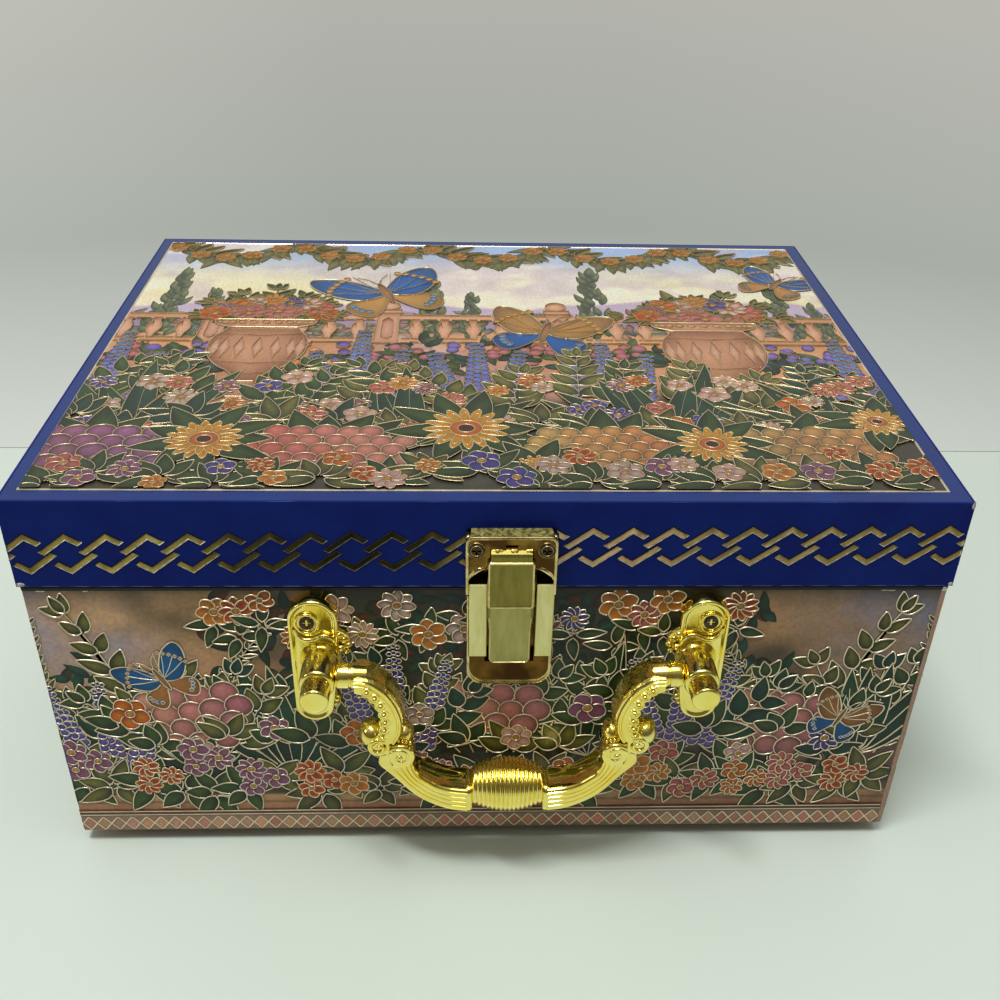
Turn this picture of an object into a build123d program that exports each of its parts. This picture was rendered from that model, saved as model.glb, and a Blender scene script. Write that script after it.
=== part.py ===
from build123d import *
import os

# Wooden gift box for jars: a hinged case of thin board wrapped in printed paper,
# with a toggle latch and a swinging carry handle on its front.
# Millimetres, +Z up, +X to the right seen from the front, front faces -Y.
# The origin is the middle of the box's outline, on the surface that it stands on.

# ---- driving dimensions ----
LID_W, LID_D, LID_Z0, LID_Z1 = 285.0, 225.0, 111.0, 141.0
OVERHANG = 0.9                      # lid past the case, each side
CASE_W, CASE_D = LID_W - 2 * OVERHANG, LID_D - 2 * OVERHANG
CASE_Z0, CASE_Z1 = 5.5, 110.3
PAPER = 0.4                         # printed wrap
WALL = 5.0                          # board of walls and rails
BOTTOM_T, TOP_T = 4.0, 4.0
TURN_IN = 12.0                      # wrap folded over the edges
LINING = 1.0
PRINT_W, PRINT_D, PRINT_X, PRINT_Y = 275.6, 214.4, -0.6, 0.7

DIVIDER_T, DIVIDER_Z1 = 3.0, 100.0  # partition that makes the jar cells
FOOT_R0, FOOT_R1, FOOT_INSET = 7.0, 8.0, 20.0

HINGE_X, HINGE_W, LEAF_T, LEAF_H = 85.0, 25.0, 0.9, 18.0
KNUCKLE_R, HINGE_PIN_R = 2.1, 1.0
HINGE_Y, HINGE_Z = LID_D / 2 + KNUCKLE_R + 0.3, (CASE_Z1 + LID_Z0) / 2
LID_OPEN = 100.0

LATCH_X = 5.4                       # the latch sits a little right of the middle
LATCH_HALF, BASE_HALF = 13.6, 13.2
LATCH_TOP, LATCH_BOT = 132.1, 76.8
LEVER_A = (3.4, 106.0)              # lever pivot: distance before the case, height
LEVER_B = (2.6, 101.0)              # hook pivot
LEVER_PIN_R, HOOK_PIN_R = 0.8, 0.7

HANDLE_X = 5.6                      # so does the handle
POST_U, POST_Z = 59.0, 85.3
PIVOT_C = 12.0                      # bail pivot before the case
POST_R, TIP_R, POST_SHOULDER, POST_TIP = 5.2, 4.1, 17.0, 24.6
PLATE_T = 4.8
NECK_R, BAIL_PIN_R = 4.1, 1.5
GRIP_Z, GRIP_R, GRIP_END_R, GRIP_HALF = 38.6, 9.1, 6.3, 11.6
BAIL_T = 11.6
RUN = 0.05                          # radial running clearance of every pivot

FRONT = -CASE_D / 2                 # outer face of the case's front


def bx(x0, x1, y0, y1, z0, z1):
    return Pos((x0 + x1) / 2, (y0 + y1) / 2, (z0 + z1) / 2) * Box(x1 - x0, y1 - y0, z1 - z0)


def centred(w, d, z0, z1, x=0.0, y=0.0):
    return bx(x - w / 2, x + w / 2, y - d / 2, y + d / 2, z0, z1)


def fy(c):
    """y of a point c millimetres in front of the case's front face"""
    return FRONT - c


def fb(x0, x1, c0, c1, z0, z1):
    return bx(x0, x1, fy(c1), fy(c0), z0, z1)


def rod_x(x0, x1, r, c, z):
    return Pos((x0 + x1) / 2, fy(c), z) * Rot(0, 90, 0) * Cylinder(r, x1 - x0)


def rod_c(x, z, r, c0, c1, r1=None):
    """a round along the front-to-back direction, from c0 out to c1"""
    p = Pos(x, fy((c0 + c1) / 2), z) * Rot(90, 0, 0)
    return p * (Cylinder(r, c1 - c0) if r1 is None else Cone(r, r1, c1 - c0))


def facing(sk, c0, c1):
    """a sketch drawn in X and Z, standing from c0 out to c1"""
    pl = Plane(origin=(0, fy(c0), 0), x_dir=(1, 0, 0), z_dir=(0, -1, 0))
    return extrude(pl * sk, amount=c1 - c0)


def side_profile(points, x0, x1):
    """a closed outline given as (c, z), standing from x0 to x1"""
    pl = Plane(origin=(x0, FRONT, 0), x_dir=(0, -1, 0), z_dir=(-1, 0, 0))
    sk = make_face(Polyline(*[(p[0], p[1]) for p in points], close=True))
    return extrude(pl * sk, amount=-(x1 - x0))


def cross_recess(x, z, c_top, size=2.6, deep=0.9):
    w = 0.62
    return (fb(x - size / 2, x + size / 2, c_top - deep, c_top + 0.5, z - w / 2, z + w / 2)
            + fb(x - w / 2, x + w / 2, c_top - deep, c_top + 0.5, z - size / 2, z + size / 2))


def one(shape):
    s = shape.solids()
    return s[0] if len(s) == 1 else Compound(children=list(s))


nodes = {}

# ---- case: five boards ----
mw, md = CASE_W - 2 * PAPER, CASE_D - 2 * PAPER
mz0, mz1 = CASE_Z0 + PAPER, CASE_Z1 - PAPER
wz0 = mz0 + BOTTOM_T
nodes["case_bottom_panel"] = centred(mw, md, mz0, wz0)
nodes["case_front_panel"] = bx(-mw / 2, mw / 2, -md / 2, -md / 2 + WALL, wz0, mz1)
nodes["case_back_panel"] = bx(-mw / 2, mw / 2, md / 2 - WALL, md / 2, wz0, mz1)
nodes["case_left_panel"] = bx(-mw / 2, -mw / 2 + WALL, -md / 2 + WALL, md / 2 - WALL, wz0, mz1)
nodes["case_right_panel"] = bx(mw / 2 - WALL, mw / 2, -md / 2 + WALL, md / 2 - WALL, wz0, mz1)

# printed paper round the case, turned in under the bottom and over the rim
iw, idp = mw - 2 * WALL, md - 2 * WALL       # inside of the boards
wrap = centred(CASE_W, CASE_D, CASE_Z0, CASE_Z1) - centred(mw, md, mz0, mz1)
wrap -= centred(CASE_W - 2 * TURN_IN, CASE_D - 2 * TURN_IN, CASE_Z0 - 1, mz0 + 0.01)
wrap -= centred(iw - 2 * PAPER, idp - 2 * PAPER, mz1 - 0.01, CASE_Z1 + 1)
wrap += (centred(iw, idp, CASE_Z1 - TURN_IN, CASE_Z1)
         - centred(iw - 2 * PAPER, idp - 2 * PAPER, CASE_Z1 - TURN_IN - 1, CASE_Z1 + 1))
nodes["case_print_wrap"] = wrap
nodes["underside_paper"] = centred(CASE_W - 2 * TURN_IN - 0.4, CASE_D - 2 * TURN_IN - 0.4, CASE_Z0, mz0)

# lining of the case
lw, ld = iw - 2 * LINING, idp - 2 * LINING
nodes["case_floor_lining"] = centred(iw, idp, wz0, wz0 + LINING)
nodes["case_wall_lining"] = (centred(iw, idp, wz0 + LINING, CASE_Z1 - 3)
                             - centred(lw, ld, wz0, CASE_Z1) - nodes["case_print_wrap"])

# ---- jar partition: three slotted boards, half lapped ----
fz = wz0 + LINING
cross_x = (lw - 2 * DIVIDER_T) / 6 + DIVIDER_T / 2
mid_z = (fz + DIVIDER_Z1) / 2
slot = DIVIDER_T + 0.1
long_div = centred(lw - 0.4, DIVIDER_T, fz, DIVIDER_Z1)
for s in (-1, 1):
    long_div -= centred(slot, DIVIDER_T + 1, mid_z - 0.1, DIVIDER_Z1 + 1, x=s * cross_x)
nodes["jar_divider_long"] = long_div
for name, s in (("left", -1), ("right", 1)):
    nodes["jar_divider_" + name] = (centred(DIVIDER_T, ld - 0.4, fz, DIVIDER_Z1, x=s * cross_x)
                                    - centred(DIVIDER_T + 1, slot, fz - 1, mid_z + 0.1, x=s * cross_x))

# ---- feet ----
foot_screws = []
for fb_name, sy in (("front", -1), ("back", 1)):
    for lr, sx in (("left", -1), ("right", 1)):
        x, y = sx * (CASE_W / 2 - FOOT_INSET), sy * (CASE_D / 2 - FOOT_INSET)
        foot = Pos(x, y, CASE_Z0 / 2) * Cone(FOOT_R0, FOOT_R1, CASE_Z0)
        screw = (Pos(x, y, 2.6) * Cylinder(2.4, 1.6)) + (Pos(x, y, 6.1) * Cylinder(1.1, 5.4))
        screw -= bx(x - 1.5, x + 1.5, y - 0.3, y + 0.3, 0, 2.5) + bx(x - 0.3, x + 0.3, y - 1.5, y + 1.5, 0, 2.5)
        foot -= Pos(x, y, 1.0) * Cylinder(3.2, 4.8)
        foot -= Pos(x, y, 4) * Cylinder(1.1, 6)
        nodes[fb_name + "_" + lr + "_foot"] = foot
        foot_screws.append(screw)
nodes["foot_screws"] = Compound(children=[one(s) for s in foot_screws])

# ---- lid: top board and four rails ----
nw, nd = LID_W - 2 * PAPER, LID_D - 2 * PAPER
nz0, nz1 = LID_Z0 + PAPER, LID_Z1 - PAPER
rz1 = nz1 - TOP_T
nodes["lid_top_panel"] = centred(nw, nd, rz1, nz1)
nodes["lid_front_rail"] = bx(-nw / 2, nw / 2, -nd / 2, -nd / 2 + WALL, nz0, rz1)
nodes["lid_back_rail"] = bx(-nw / 2, nw / 2, nd / 2 - WALL, nd / 2, nz0, rz1)
nodes["lid_left_rail"] = bx(-nw / 2, -nw / 2 + WALL, -nd / 2 + WALL, nd / 2 - WALL, nz0, rz1)
nodes["lid_right_rail"] = bx(nw / 2 - WALL, nw / 2, -nd / 2 + WALL, nd / 2 - WALL, nz0, rz1)

kw, kd = nw - 2 * WALL, nd - 2 * WALL
lid_wrap = centred(LID_W, LID_D, LID_Z0, LID_Z1) - centred(nw, nd, nz0, nz1)
lid_wrap -= centred(kw - 2 * PAPER, kd - 2 * PAPER, LID_Z0 - 1, nz0 + 0.01)
lid_wrap -= centred(PRINT_W, PRINT_D, nz1 - 0.01, LID_Z1 + 1, x=PRINT_X, y=PRINT_Y)
lid_wrap += (centred(kw, kd, LID_Z0, LID_Z0 + TURN_IN)
             - centred(kw - 2 * PAPER, kd - 2 * PAPER, LID_Z0 - 1, LID_Z0 + TURN_IN + 1))
nodes["lid_wrap"] = lid_wrap
nodes["lid_print_panel"] = centred(PRINT_W, PRINT_D, nz1, LID_Z1, x=PRINT_X, y=PRINT_Y)
nodes["lid_top_lining"] = centred(kw, kd, rz1 - LINING, rz1)
nodes["lid_wall_lining"] = (centred(kw, kd, LID_Z0 + 3, rz1 - LINING)
                            - centred(kw - 2 * LINING, kd - 2 * LINING, LID_Z0, rz1) - nodes["lid_wrap"])

# ---- two stop hinges on the outside of the back ----
third = HINGE_W / 3
case_screws, lid_screws = [], []


def wing(x, angle, core, outer, other):
    """stop flange standing out from the knuckles, so that the leaves meet at the end of travel"""
    w = (bx(x + core[0], x + core[1], 1.7, 3.0, -0.4, 0.4)
         + bx(x + outer[0], x + outer[1], 2.5, 5.2, -0.4, 0.4))
    return Pos(0, HINGE_Y, HINGE_Z) * Rot(angle, 0, 0) * w


for lr, sx in (("left", -1), ("right", 1)):
    x = sx * HINGE_X
    x0, x1 = x - HINGE_W / 2, x + HINGE_W / 2
    y_case, y_lid = CASE_D / 2, LID_D / 2
    barrel = lambda a, b: Pos((a + b) / 2, HINGE_Y, HINGE_Z) * Rot(0, 90, 0) * Cylinder(KNUCKLE_R, b - a)
    hole = Pos(x, HINGE_Y, HINGE_Z) * Rot(0, 90, 0) * Cylinder(HINGE_PIN_R + RUN, HINGE_W + 2)
    tight = Pos(x, HINGE_Y, HINGE_Z) * Rot(0, 90, 0) * Cylinder(HINGE_PIN_R, HINGE_W + 2)
    a, b = x0 + third - 0.1, x1 - third + 0.1
    leaf = bx(x0, x1, y_case, y_case + LEAF_T, HINGE_Z - LEAF_H, HINGE_Z - 2.6)
    for p, q in ((x0, a), (b, x1)):
        leaf += bx(p, q, y_case, y_case + LEAF_T, HINGE_Z - 3, HINGE_Z - 0.35)
        leaf += bx(p, q, y_case, HINGE_Y, HINGE_Z - 1.4, HINGE_Z - 0.35)
        leaf += barrel(p, q)
    stop = (bx(x0, a, 1.7, 3.0, -0.4, 0.4) + bx(b, x1, 1.7, 3.0, -0.4, 0.4) + bx(x0, x1, 2.5, 5.2, -0.4, 0.4))
    leaf += Pos(0, HINGE_Y, HINGE_Z) * Rot(-(LID_OPEN / 2 + 18), 0, 0) * stop
    leaf -= tight
    lid_leaf = bx(x0, x1, y_lid, y_lid + LEAF_T, HINGE_Z + 2.6, HINGE_Z + LEAF_H)
    lid_leaf += bx(a + 0.2, b - 0.2, y_lid, y_lid + LEAF_T, HINGE_Z + 0.6, HINGE_Z + 3)
    lid_leaf += bx(a + 0.2, b - 0.2, y_lid, HINGE_Y, HINGE_Z + 0.6, HINGE_Z + 1.6)
    lid_leaf += barrel(a + 0.2, b - 0.2)
    stop = bx(a + 0.2, b - 0.2, 1.7, 3.0, -0.4, 0.4) + bx(x0, x1, 2.5, 5.2, -0.4, 0.4)
    lid_leaf += Pos(0, HINGE_Y, HINGE_Z) * Rot(LID_OPEN / 2 + 0.6, 0, 0) * stop
    lid_leaf -= hole
    for px in (-7.5, 7.5):
        for zz, y0, target in ((HINGE_Z - 11, y_case, case_screws), (HINGE_Z + 11, y_lid, lid_screws)):
            s = (Pos(x + px, y0 + 0.65, zz) * Rot(90, 0, 0) * Cone(2.1, 1.0, 1.1)
                 + Pos(x + px, y0 - 1.9, zz) * Rot(90, 0, 0) * Cylinder(0.9, 4.2))
            s -= bx(x + px - 1.1, x + px + 1.1, y0 + 0.75, y0 + 2, zz - 0.25, zz + 0.25)
            s -= bx(x + px - 0.25, x + px + 0.25, y0 + 0.75, y0 + 2, zz - 1.1, zz + 1.1)
            solid_screw = (Pos(x + px, y0 + 0.65, zz) * Rot(90, 0, 0) * Cone(2.1, 1.0, 1.1)
                           + Pos(x + px, y0 - 1.9, zz) * Rot(90, 0, 0) * Cylinder(0.9, 4.2))
            if target is case_screws:
                leaf -= solid_screw
                nodes["case_back_panel"] -= solid_screw
                nodes["case_print_wrap"] -= solid_screw
            else:
                lid_leaf -= solid_screw
                nodes["lid_back_rail"] -= solid_screw
                nodes["lid_wrap"] -= solid_screw
            target.append(s)
    nodes[lr + "_hinge_case_leaf"] = leaf
    nodes[lr + "_hinge_lid_leaf"] = lid_leaf
    nodes[lr + "_hinge_pin"] = Pos(x, HINGE_Y, HINGE_Z) * Rot(0, 90, 0) * Cylinder(HINGE_PIN_R, HINGE_W)
nodes["hinge_case_screws"] = Compound(children=[one(s) for s in case_screws])
nodes["hinge_lid_screws"] = Compound(children=[one(s) for s in lid_screws])

# ---- toggle latch ----
L = LATCH_X
lid_c = OVERHANG
plate = fb(L - LATCH_HALF, L + LATCH_HALF, lid_c, 6.0, LID_Z0 + 0.4, LATCH_TOP)
plate = fillet(plate.edges().filter_by(Axis.Y).group_by(Axis.Z)[-1], 1.8)
plate = fillet(plate.faces().sort_by(Axis.Y)[0].edges().filter_by(lambda e: e.center().Z > LID_Z0 + 1), 0.8)
plate -= fb(L - 7.6, L + 7.6, 2.0, 7.0, LID_Z0 - 1, 121.6)
pocket = facing(Pos(L, 0) * Rectangle(25.9, 20, align=(Align.CENTER, Align.MIN)), 2.0, 7.0)
pocket = Pos(0, 0, 100.6) * pocket
pocket = fillet(pocket.edges().filter_by(Axis.Y).group_by(Axis.Z)[-1], 3.4)
plate -= pocket
plate -= fb(L - 6.4, L + 6.4, 3.6, 7.0, 124.7, 128.0)
plate -= fb(L - 1.8, L + 1.8, 4.6, 7.0, 128.5, 129.4)
nodes["latch_lid_plate"] = plate

base = fb(L - BASE_HALF, L + BASE_HALF, 0, 5.0, LATCH_BOT, 110.7)
base = fillet(base.edges().filter_by(Axis.Y).group_by(Axis.Z)[0], 5.5)
base = fillet(base.faces().sort_by(Axis.Y)[0].edges().filter_by(lambda e: e.center().Z < 110.5), 0.8)
for s in (-1, 1):
    xa, xb = sorted((L + s * 7.9, L + s * 12.65))
    base += fb(xa, xb, 0.5, 5.6, 87.4, 110.7)
    base += fb(xa, xb, 2.4, 5.6, 110.7, 115.3)
base -= fb(L - 7.7, L + 7.7, 1.0, 7.0, 84.8, 111)
base -= rod_x(L - 8.95, L + 8.95, LEVER_PIN_R + RUN, *LEVER_A)
nodes["latch_base_plate"] = base

A, B = LEVER_A, LEVER_B
lever = fb(L - 6.05, L + 6.05, A[0] + 1.5, A[0] + 2.9, 85.4, A[1] + 0.7)
lever = fillet(lever.edges().filter_by(Axis.Y).group_by(Axis.Z)[0], 1.2)
for s in (-1, 1):
    xa, xb = sorted((L + s * 5.05, L + s * 6.05))
    ear = side_profile([(A[0] - 1.5, B[1] - 1.6), (A[0] + 1.6, B[1] - 3.2), (A[0] + 1.6, A[1] + 0.7),
                        (A[0] + 0.6, A[1] + 1.5), (A[0] - 0.8, A[1] + 1.5), (A[0] - 1.5, A[1] + 0.6)], xa, xb)
    lever += ear
lever -= rod_x(L - 8, L + 8, LEVER_PIN_R, *A)
lever -= rod_x(L - 8, L + 8, HOOK_PIN_R + RUN, *B)
nodes["latch_lever"] = lever
nodes["latch_lever_pins"] = Compound(children=[one(rod_x(L - 8.9, L - 5.05, LEVER_PIN_R, *A)),
                                               one(rod_x(L + 5.05, L + 8.9, LEVER_PIN_R, *A))])

hook = fb(L - 7.1, L + 7.1, 6.2, 7.5, A[1] + 1.3, 124.3)
hook = fillet(hook.edges().filter_by(Axis.Y), 1.0)
hook = chamfer(hook.faces().sort_by(Axis.Y)[0].edges(), 0.45)
hook += side_profile([(6.2, 123.4), (7.4, 123.4), (7.4, 125.9), (7.1, 126.9), (6.1, 127.6), (4.2, 127.6),
                      (4.2, 125.0), (6.2, 125.0)], L - 6.1, L + 6.1)
for s in (-1, 1):
    xa, xb = sorted((L + s * 6.2, L + s * 7.0))
    arm = side_profile([(A[0] - 1.3, A[1] - 4.6), (A[0] - 1.3, A[1] - 5.8), (A[0] - 0.4, A[1] - 6.4),
                        (A[0] + 1.2, A[1] - 6.4), (A[0] + 3.5, A[1] - 2.2), (A[0] + 3.5, A[1] + 4.0),
                        (A[0] + 2.8, A[1] + 4.0), (A[0] + 2.0, A[1] + 1.0), (A[0] + 1.5, A[1] - 1.6)], xa, xb)
    hook += arm
hook -= rod_x(L - 8, L + 8, HOOK_PIN_R, *B)
nodes["latch_hook"] = hook
nodes["latch_hook_pin"] = rod_x(L - 7.0, L + 7.0, HOOK_PIN_R, *B)

lid_sc, base_sc = [], []
for s in (-1, 1):
    x, z = L + s * 10.4, 127.6
    body = rod_c(x, z, 2.4, 5.2, 6.5) + rod_c(x, z, 0.95, -3.2, 5.2)
    lid_sc.append(body - cross_recess(x, z, 6.5))
    for n in ("latch_lid_plate", "lid_front_rail", "lid_wrap"):
        nodes[n] -= body
    x, z = L + s * 3.2, 92.5
    body = rod_c(x, z, 0.9, 0.0, 1.0, 1.9) + rod_c(x, z, 0.8, -4.0, 0.0)
    base_sc.append(body - cross_recess(x, z, 1.0, size=1.8, deep=0.5))
    for n in ("latch_base_plate", "case_front_panel", "case_print_wrap"):
        nodes[n] -= body
nodes["latch_lid_screws"] = Compound(children=[one(s) for s in lid_sc])
nodes["latch_base_screws"] = Compound(children=[one(s) for s in base_sc])

# ---- carry handle: two cast posts on leaf plates, and a bail that hangs between them ----
handle_screws, handle_bolts = [], []
for lr, s in (("left", -1), ("right", 1)):
    X = lambda u: HANDLE_X + s * u
    discs = [(60.6, 100.4, 7.6), (62.1, 66.4, 6.1), (POST_U, POST_Z, 6.0)]
    outline = make_hull([e for u, z, r in discs for e in (Pos(X(u), z) * Circle(r)).edges()])
    post = facing(outline, 0, PLATE_T)
    post = fillet(post.faces().sort_by(Axis.Y)[0].edges(), 0.9)
    post += rod_c(X(POST_U), POST_Z, POST_R, 3.0, POST_SHOULDER)
    post += rod_c(X(POST_U), POST_Z, TIP_R, POST_SHOULDER - 1, POST_TIP)
    post = fillet(post.faces().sort_by(Axis.Y)[0].edges(), 0.7)
    lo, hi = sorted((X(POST_U - POST_R - 1), X(POST_U + 1)))
    post -= rod_x(lo, hi, BAIL_PIN_R + RUN, PIVOT_C, POST_Z)
    sx_, sz_ = X(62.4), 99.3
    post -= rod_c(sx_, sz_, 3.1, 3.0, 6.0)
    body = rod_c(sx_, sz_, 2.3, 2.0, 4.2) + rod_c(sx_, sz_, 0.95, -4.6, 2.0)
    handle_screws.append(body - cross_recess(sx_, sz_, 4.2))
    bolt = rod_c(X(POST_U), POST_Z, 4.0, -5.4, -4.2) + rod_c(X(POST_U), POST_Z, 2.0, -4.2, 7.5)
    handle_bolts.append(bolt)
    post -= body + bolt
    for n in ("case_front_panel", "case_print_wrap"):
        nodes[n] -= body + bolt
    nodes["handle_" + lr + "_post"] = post
nodes["handle_screws"] = Compound(children=[one(b) for b in handle_screws])
nodes["handle_bolts"] = Compound(children=[one(b) for b in handle_bolts])

# half outline of the bail as distances from its middle and heights
C_OUT = [(47.6, 87.4), (45.4, 87.4), (43.3, 86.8), (41.2, 85.6), (38.6, 83.2), (36.6, 80.4), (35.0, 77.2),
         (33.9, 73.8), (33.4, 70.4), (33.6, 67.0), (34.4, 64.2), (35.8, 61.6)]
C_IN = [(41.6, 62.2), (40.7, 65.6), (40.3, 69.0), (40.5, 72.6), (41.3, 76.0), (42.7, 79.0), (44.7, 81.2), (47.6, 82.4)]
LOW_OUT = [(41.2, 56.4), (41.6, 53.0), (40.0, 50.6), (38.2, 48.6), (35.2, 44.9), (32.2, 41.0), (28.4, 37.2),
           (23.2, 33.9), (18.8, 32.0), (13.6, 31.0)]
LOW_IN = [(13.6, 40.7), (18.7, 41.6), (22.8, 43.2), (26.1, 45.7), (29.0, 48.6), (31.0, 51.6)]
c0, c1 = PIVOT_C - BAIL_T / 2, PIVOT_C + BAIL_T / 2


def half(s):
    m = lambda pts: [(HANDLE_X + s * p[0], p[1]) for p in pts]
    o, i = m(C_OUT), m(C_IN)
    arm = make_face([Spline(*o), Line(o[-1], i[0]), Spline(*i), Line(i[-1], o[0])])
    lo, li = m(LOW_OUT), m(LOW_IN)
    end0, end1 = (HANDLE_X + s * GRIP_HALF, 31.0), (HANDLE_X + s * GRIP_HALF, 40.7)
    low = make_face([Spline(*lo), Line(lo[-1], end0), Line(end0, end1), Line(end1, li[0]), Spline(*li),
                     Line(li[-1], lo[0])])
    out = facing(arm, c0, c1) + facing(low, c0, c1)
    out += rod_c(HANDLE_X + s * 41.2, 60.3, 3.5, c0, c1)      # lower curl of the C
    out += rod_c(HANDLE_X + s * 34.4, 56.0, 4.7, c0, c1)      # head of the reeded arm
    out += Pos(HANDLE_X + s * 43.0, fy(PIVOT_C), 62.2) * Sphere(4.6)
    a, b = sorted((HANDLE_X + s * 44.0, HANDLE_X + s * (POST_U - POST_R - 0.4)))
    out += rod_x(a, b, NECK_R, PIVOT_C, POST_Z)
    return out


prof = make_face([Line((-GRIP_HALF, 0), (-GRIP_HALF, GRIP_END_R)),
                  ThreePointArc((-GRIP_HALF, GRIP_END_R), (0, GRIP_R), (GRIP_HALF, GRIP_END_R)),
                  Line((GRIP_HALF, GRIP_END_R), (GRIP_HALF, 0)), Line((GRIP_HALF, 0), (-GRIP_HALF, 0))])
grip = Pos(HANDLE_X, fy(PIVOT_C), GRIP_Z) * revolve(prof, Axis.X, 360)
bail = grip + half(-1) + half(1)
pins = []
for s in (-1, 1):
    a, b = sorted((HANDLE_X + s * 47.0, HANDLE_X + s * (POST_U + 0.6)))
    pin = rod_x(a, b, BAIL_PIN_R, PIVOT_C, POST_Z)
    pins.append(pin)
    bail -= pin
nodes["handle_bail"] = bail
nodes["handle_pivot_pins"] = Compound(children=[one(p) for p in pins])

# foot screws bite into the bottom board
for n in ("case_bottom_panel", "case_print_wrap", "underside_paper"):
    for s in nodes["foot_screws"].solids():
        c = s.bounding_box().center()
        nodes[n] -= Pos(c.X, c.Y, 6.1) * Cylinder(1.1, 5.4)

# ---- the middle of the outline goes to the origin ----
SHIFT = 8.845
print("outline y", min(n.bounding_box().min.Y for n in nodes.values()) + SHIFT,
      max(n.bounding_box().max.Y for n in nodes.values()) + SHIFT)
os.makedirs("parts", exist_ok=True)
for name, shape in nodes.items():
    solids = [Pos(0, SHIFT, 0) * s for s in shape.solids()]
    out = solids[0] if len(solids) == 1 else Compound(children=solids)
    out.label = name
    export_step(out, "parts/" + name + ".step")
print(len(nodes), "nodes")
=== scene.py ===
import bpy, math, random
import numpy as np
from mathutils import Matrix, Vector


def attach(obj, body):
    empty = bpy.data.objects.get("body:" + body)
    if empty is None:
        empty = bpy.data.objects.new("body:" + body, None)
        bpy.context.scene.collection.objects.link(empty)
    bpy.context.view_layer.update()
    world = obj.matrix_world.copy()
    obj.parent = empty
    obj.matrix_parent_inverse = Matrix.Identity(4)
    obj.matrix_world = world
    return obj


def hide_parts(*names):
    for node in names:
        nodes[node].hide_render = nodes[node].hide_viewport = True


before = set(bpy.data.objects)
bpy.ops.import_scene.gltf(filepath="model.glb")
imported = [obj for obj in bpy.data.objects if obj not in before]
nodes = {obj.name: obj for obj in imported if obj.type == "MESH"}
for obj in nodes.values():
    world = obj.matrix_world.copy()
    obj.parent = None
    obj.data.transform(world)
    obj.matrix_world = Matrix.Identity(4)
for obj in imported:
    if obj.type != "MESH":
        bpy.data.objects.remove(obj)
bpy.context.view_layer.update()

S = 8.845                      # the box's own middle sits this far behind the origin, in mm
FRONT = -111.6                 # case front, in the box's own frame
LIDF = -112.5
MM = 0.001
LX, HX = 5.4, 5.6              # middle of the latch and of the handle


def W(x, y, z):
    """box frame in mm to the row frame in metres"""
    return (x * MM, (y + S) * MM, z * MM)


# ------------------------------------------------------------------ materials
def new_mat(name):
    m = bpy.data.materials.new(name)
    m.use_nodes = True
    nt = m.node_tree
    return m, nt, nt.nodes["Principled BSDF"]


def mix_rgb(nt, fac, a, b):
    n = nt.nodes.new("ShaderNodeMix")
    n.data_type = "RGBA"
    n.clamp_factor = True
    if fac is not None:
        nt.links.new(fac, n.inputs[0])
    for i, v in ((6, a), (7, b)):
        if hasattr(v, "is_output"):
            nt.links.new(v, n.inputs[i])
        else:
            n.inputs[i].default_value = (*v, 1)
    return n.outputs[2]


def noise(nt, scale, detail=3.0, rough=0.55, stretch=(1, 1, 1)):
    tc = nt.nodes.new("ShaderNodeTexCoord")
    mp = nt.nodes.new("ShaderNodeMapping")
    mp.inputs["Scale"].default_value = stretch
    nt.links.new(tc.outputs["Object"], mp.inputs["Vector"])
    n = nt.nodes.new("ShaderNodeTexNoise")
    n.inputs["Scale"].default_value = scale
    n.inputs["Detail"].default_value = detail
    n.inputs["Roughness"].default_value = rough
    nt.links.new(mp.outputs[0], n.inputs["Vector"])
    return n.outputs[0]


def ramp(nt, fac, lo, hi, a=0.0, b=1.0):
    n = nt.nodes.new("ShaderNodeMapRange")
    for k, v in (("From Min", lo), ("From Max", hi), ("To Min", a), ("To Max", b)):
        n.inputs[k].default_value = v
    nt.links.new(fac, n.inputs["Value"])
    return n.outputs[0]


def bump(nt, p, height, strength, dist=0.0003):
    n = nt.nodes.new("ShaderNodeBump")
    n.inputs["Strength"].default_value = strength
    n.inputs["Distance"].default_value = dist
    nt.links.new(height, n.inputs["Height"])
    nt.links.new(n.outputs[0], p.inputs["Normal"])


def plain(name, ca, cb, rough, metal=0.0, scale=220.0, bumps=0.0, rspread=0.06, coat=0.0, lo=0.35, hi=0.65, stretch=(1, 1, 1), bscale=None, spec=0.5):
    m, nt, p = new_mat(name)
    n = noise(nt, scale, stretch=stretch)
    nt.links.new(mix_rgb(nt, ramp(nt, n, lo, hi), ca, cb), p.inputs["Base Color"])
    p.inputs["Metallic"].default_value = metal
    p.inputs["Specular IOR Level"].default_value = spec
    if coat:
        p.inputs["Coat Weight"].default_value = coat
        p.inputs["Coat Roughness"].default_value = 0.12
    nt.links.new(ramp(nt, n, 0.3, 0.7, rough - rspread, rough + rspread), p.inputs["Roughness"])
    if bumps:
        bump(nt, p, noise(nt, bscale or scale * 2.5, 2.0), bumps)
    return m


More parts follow.
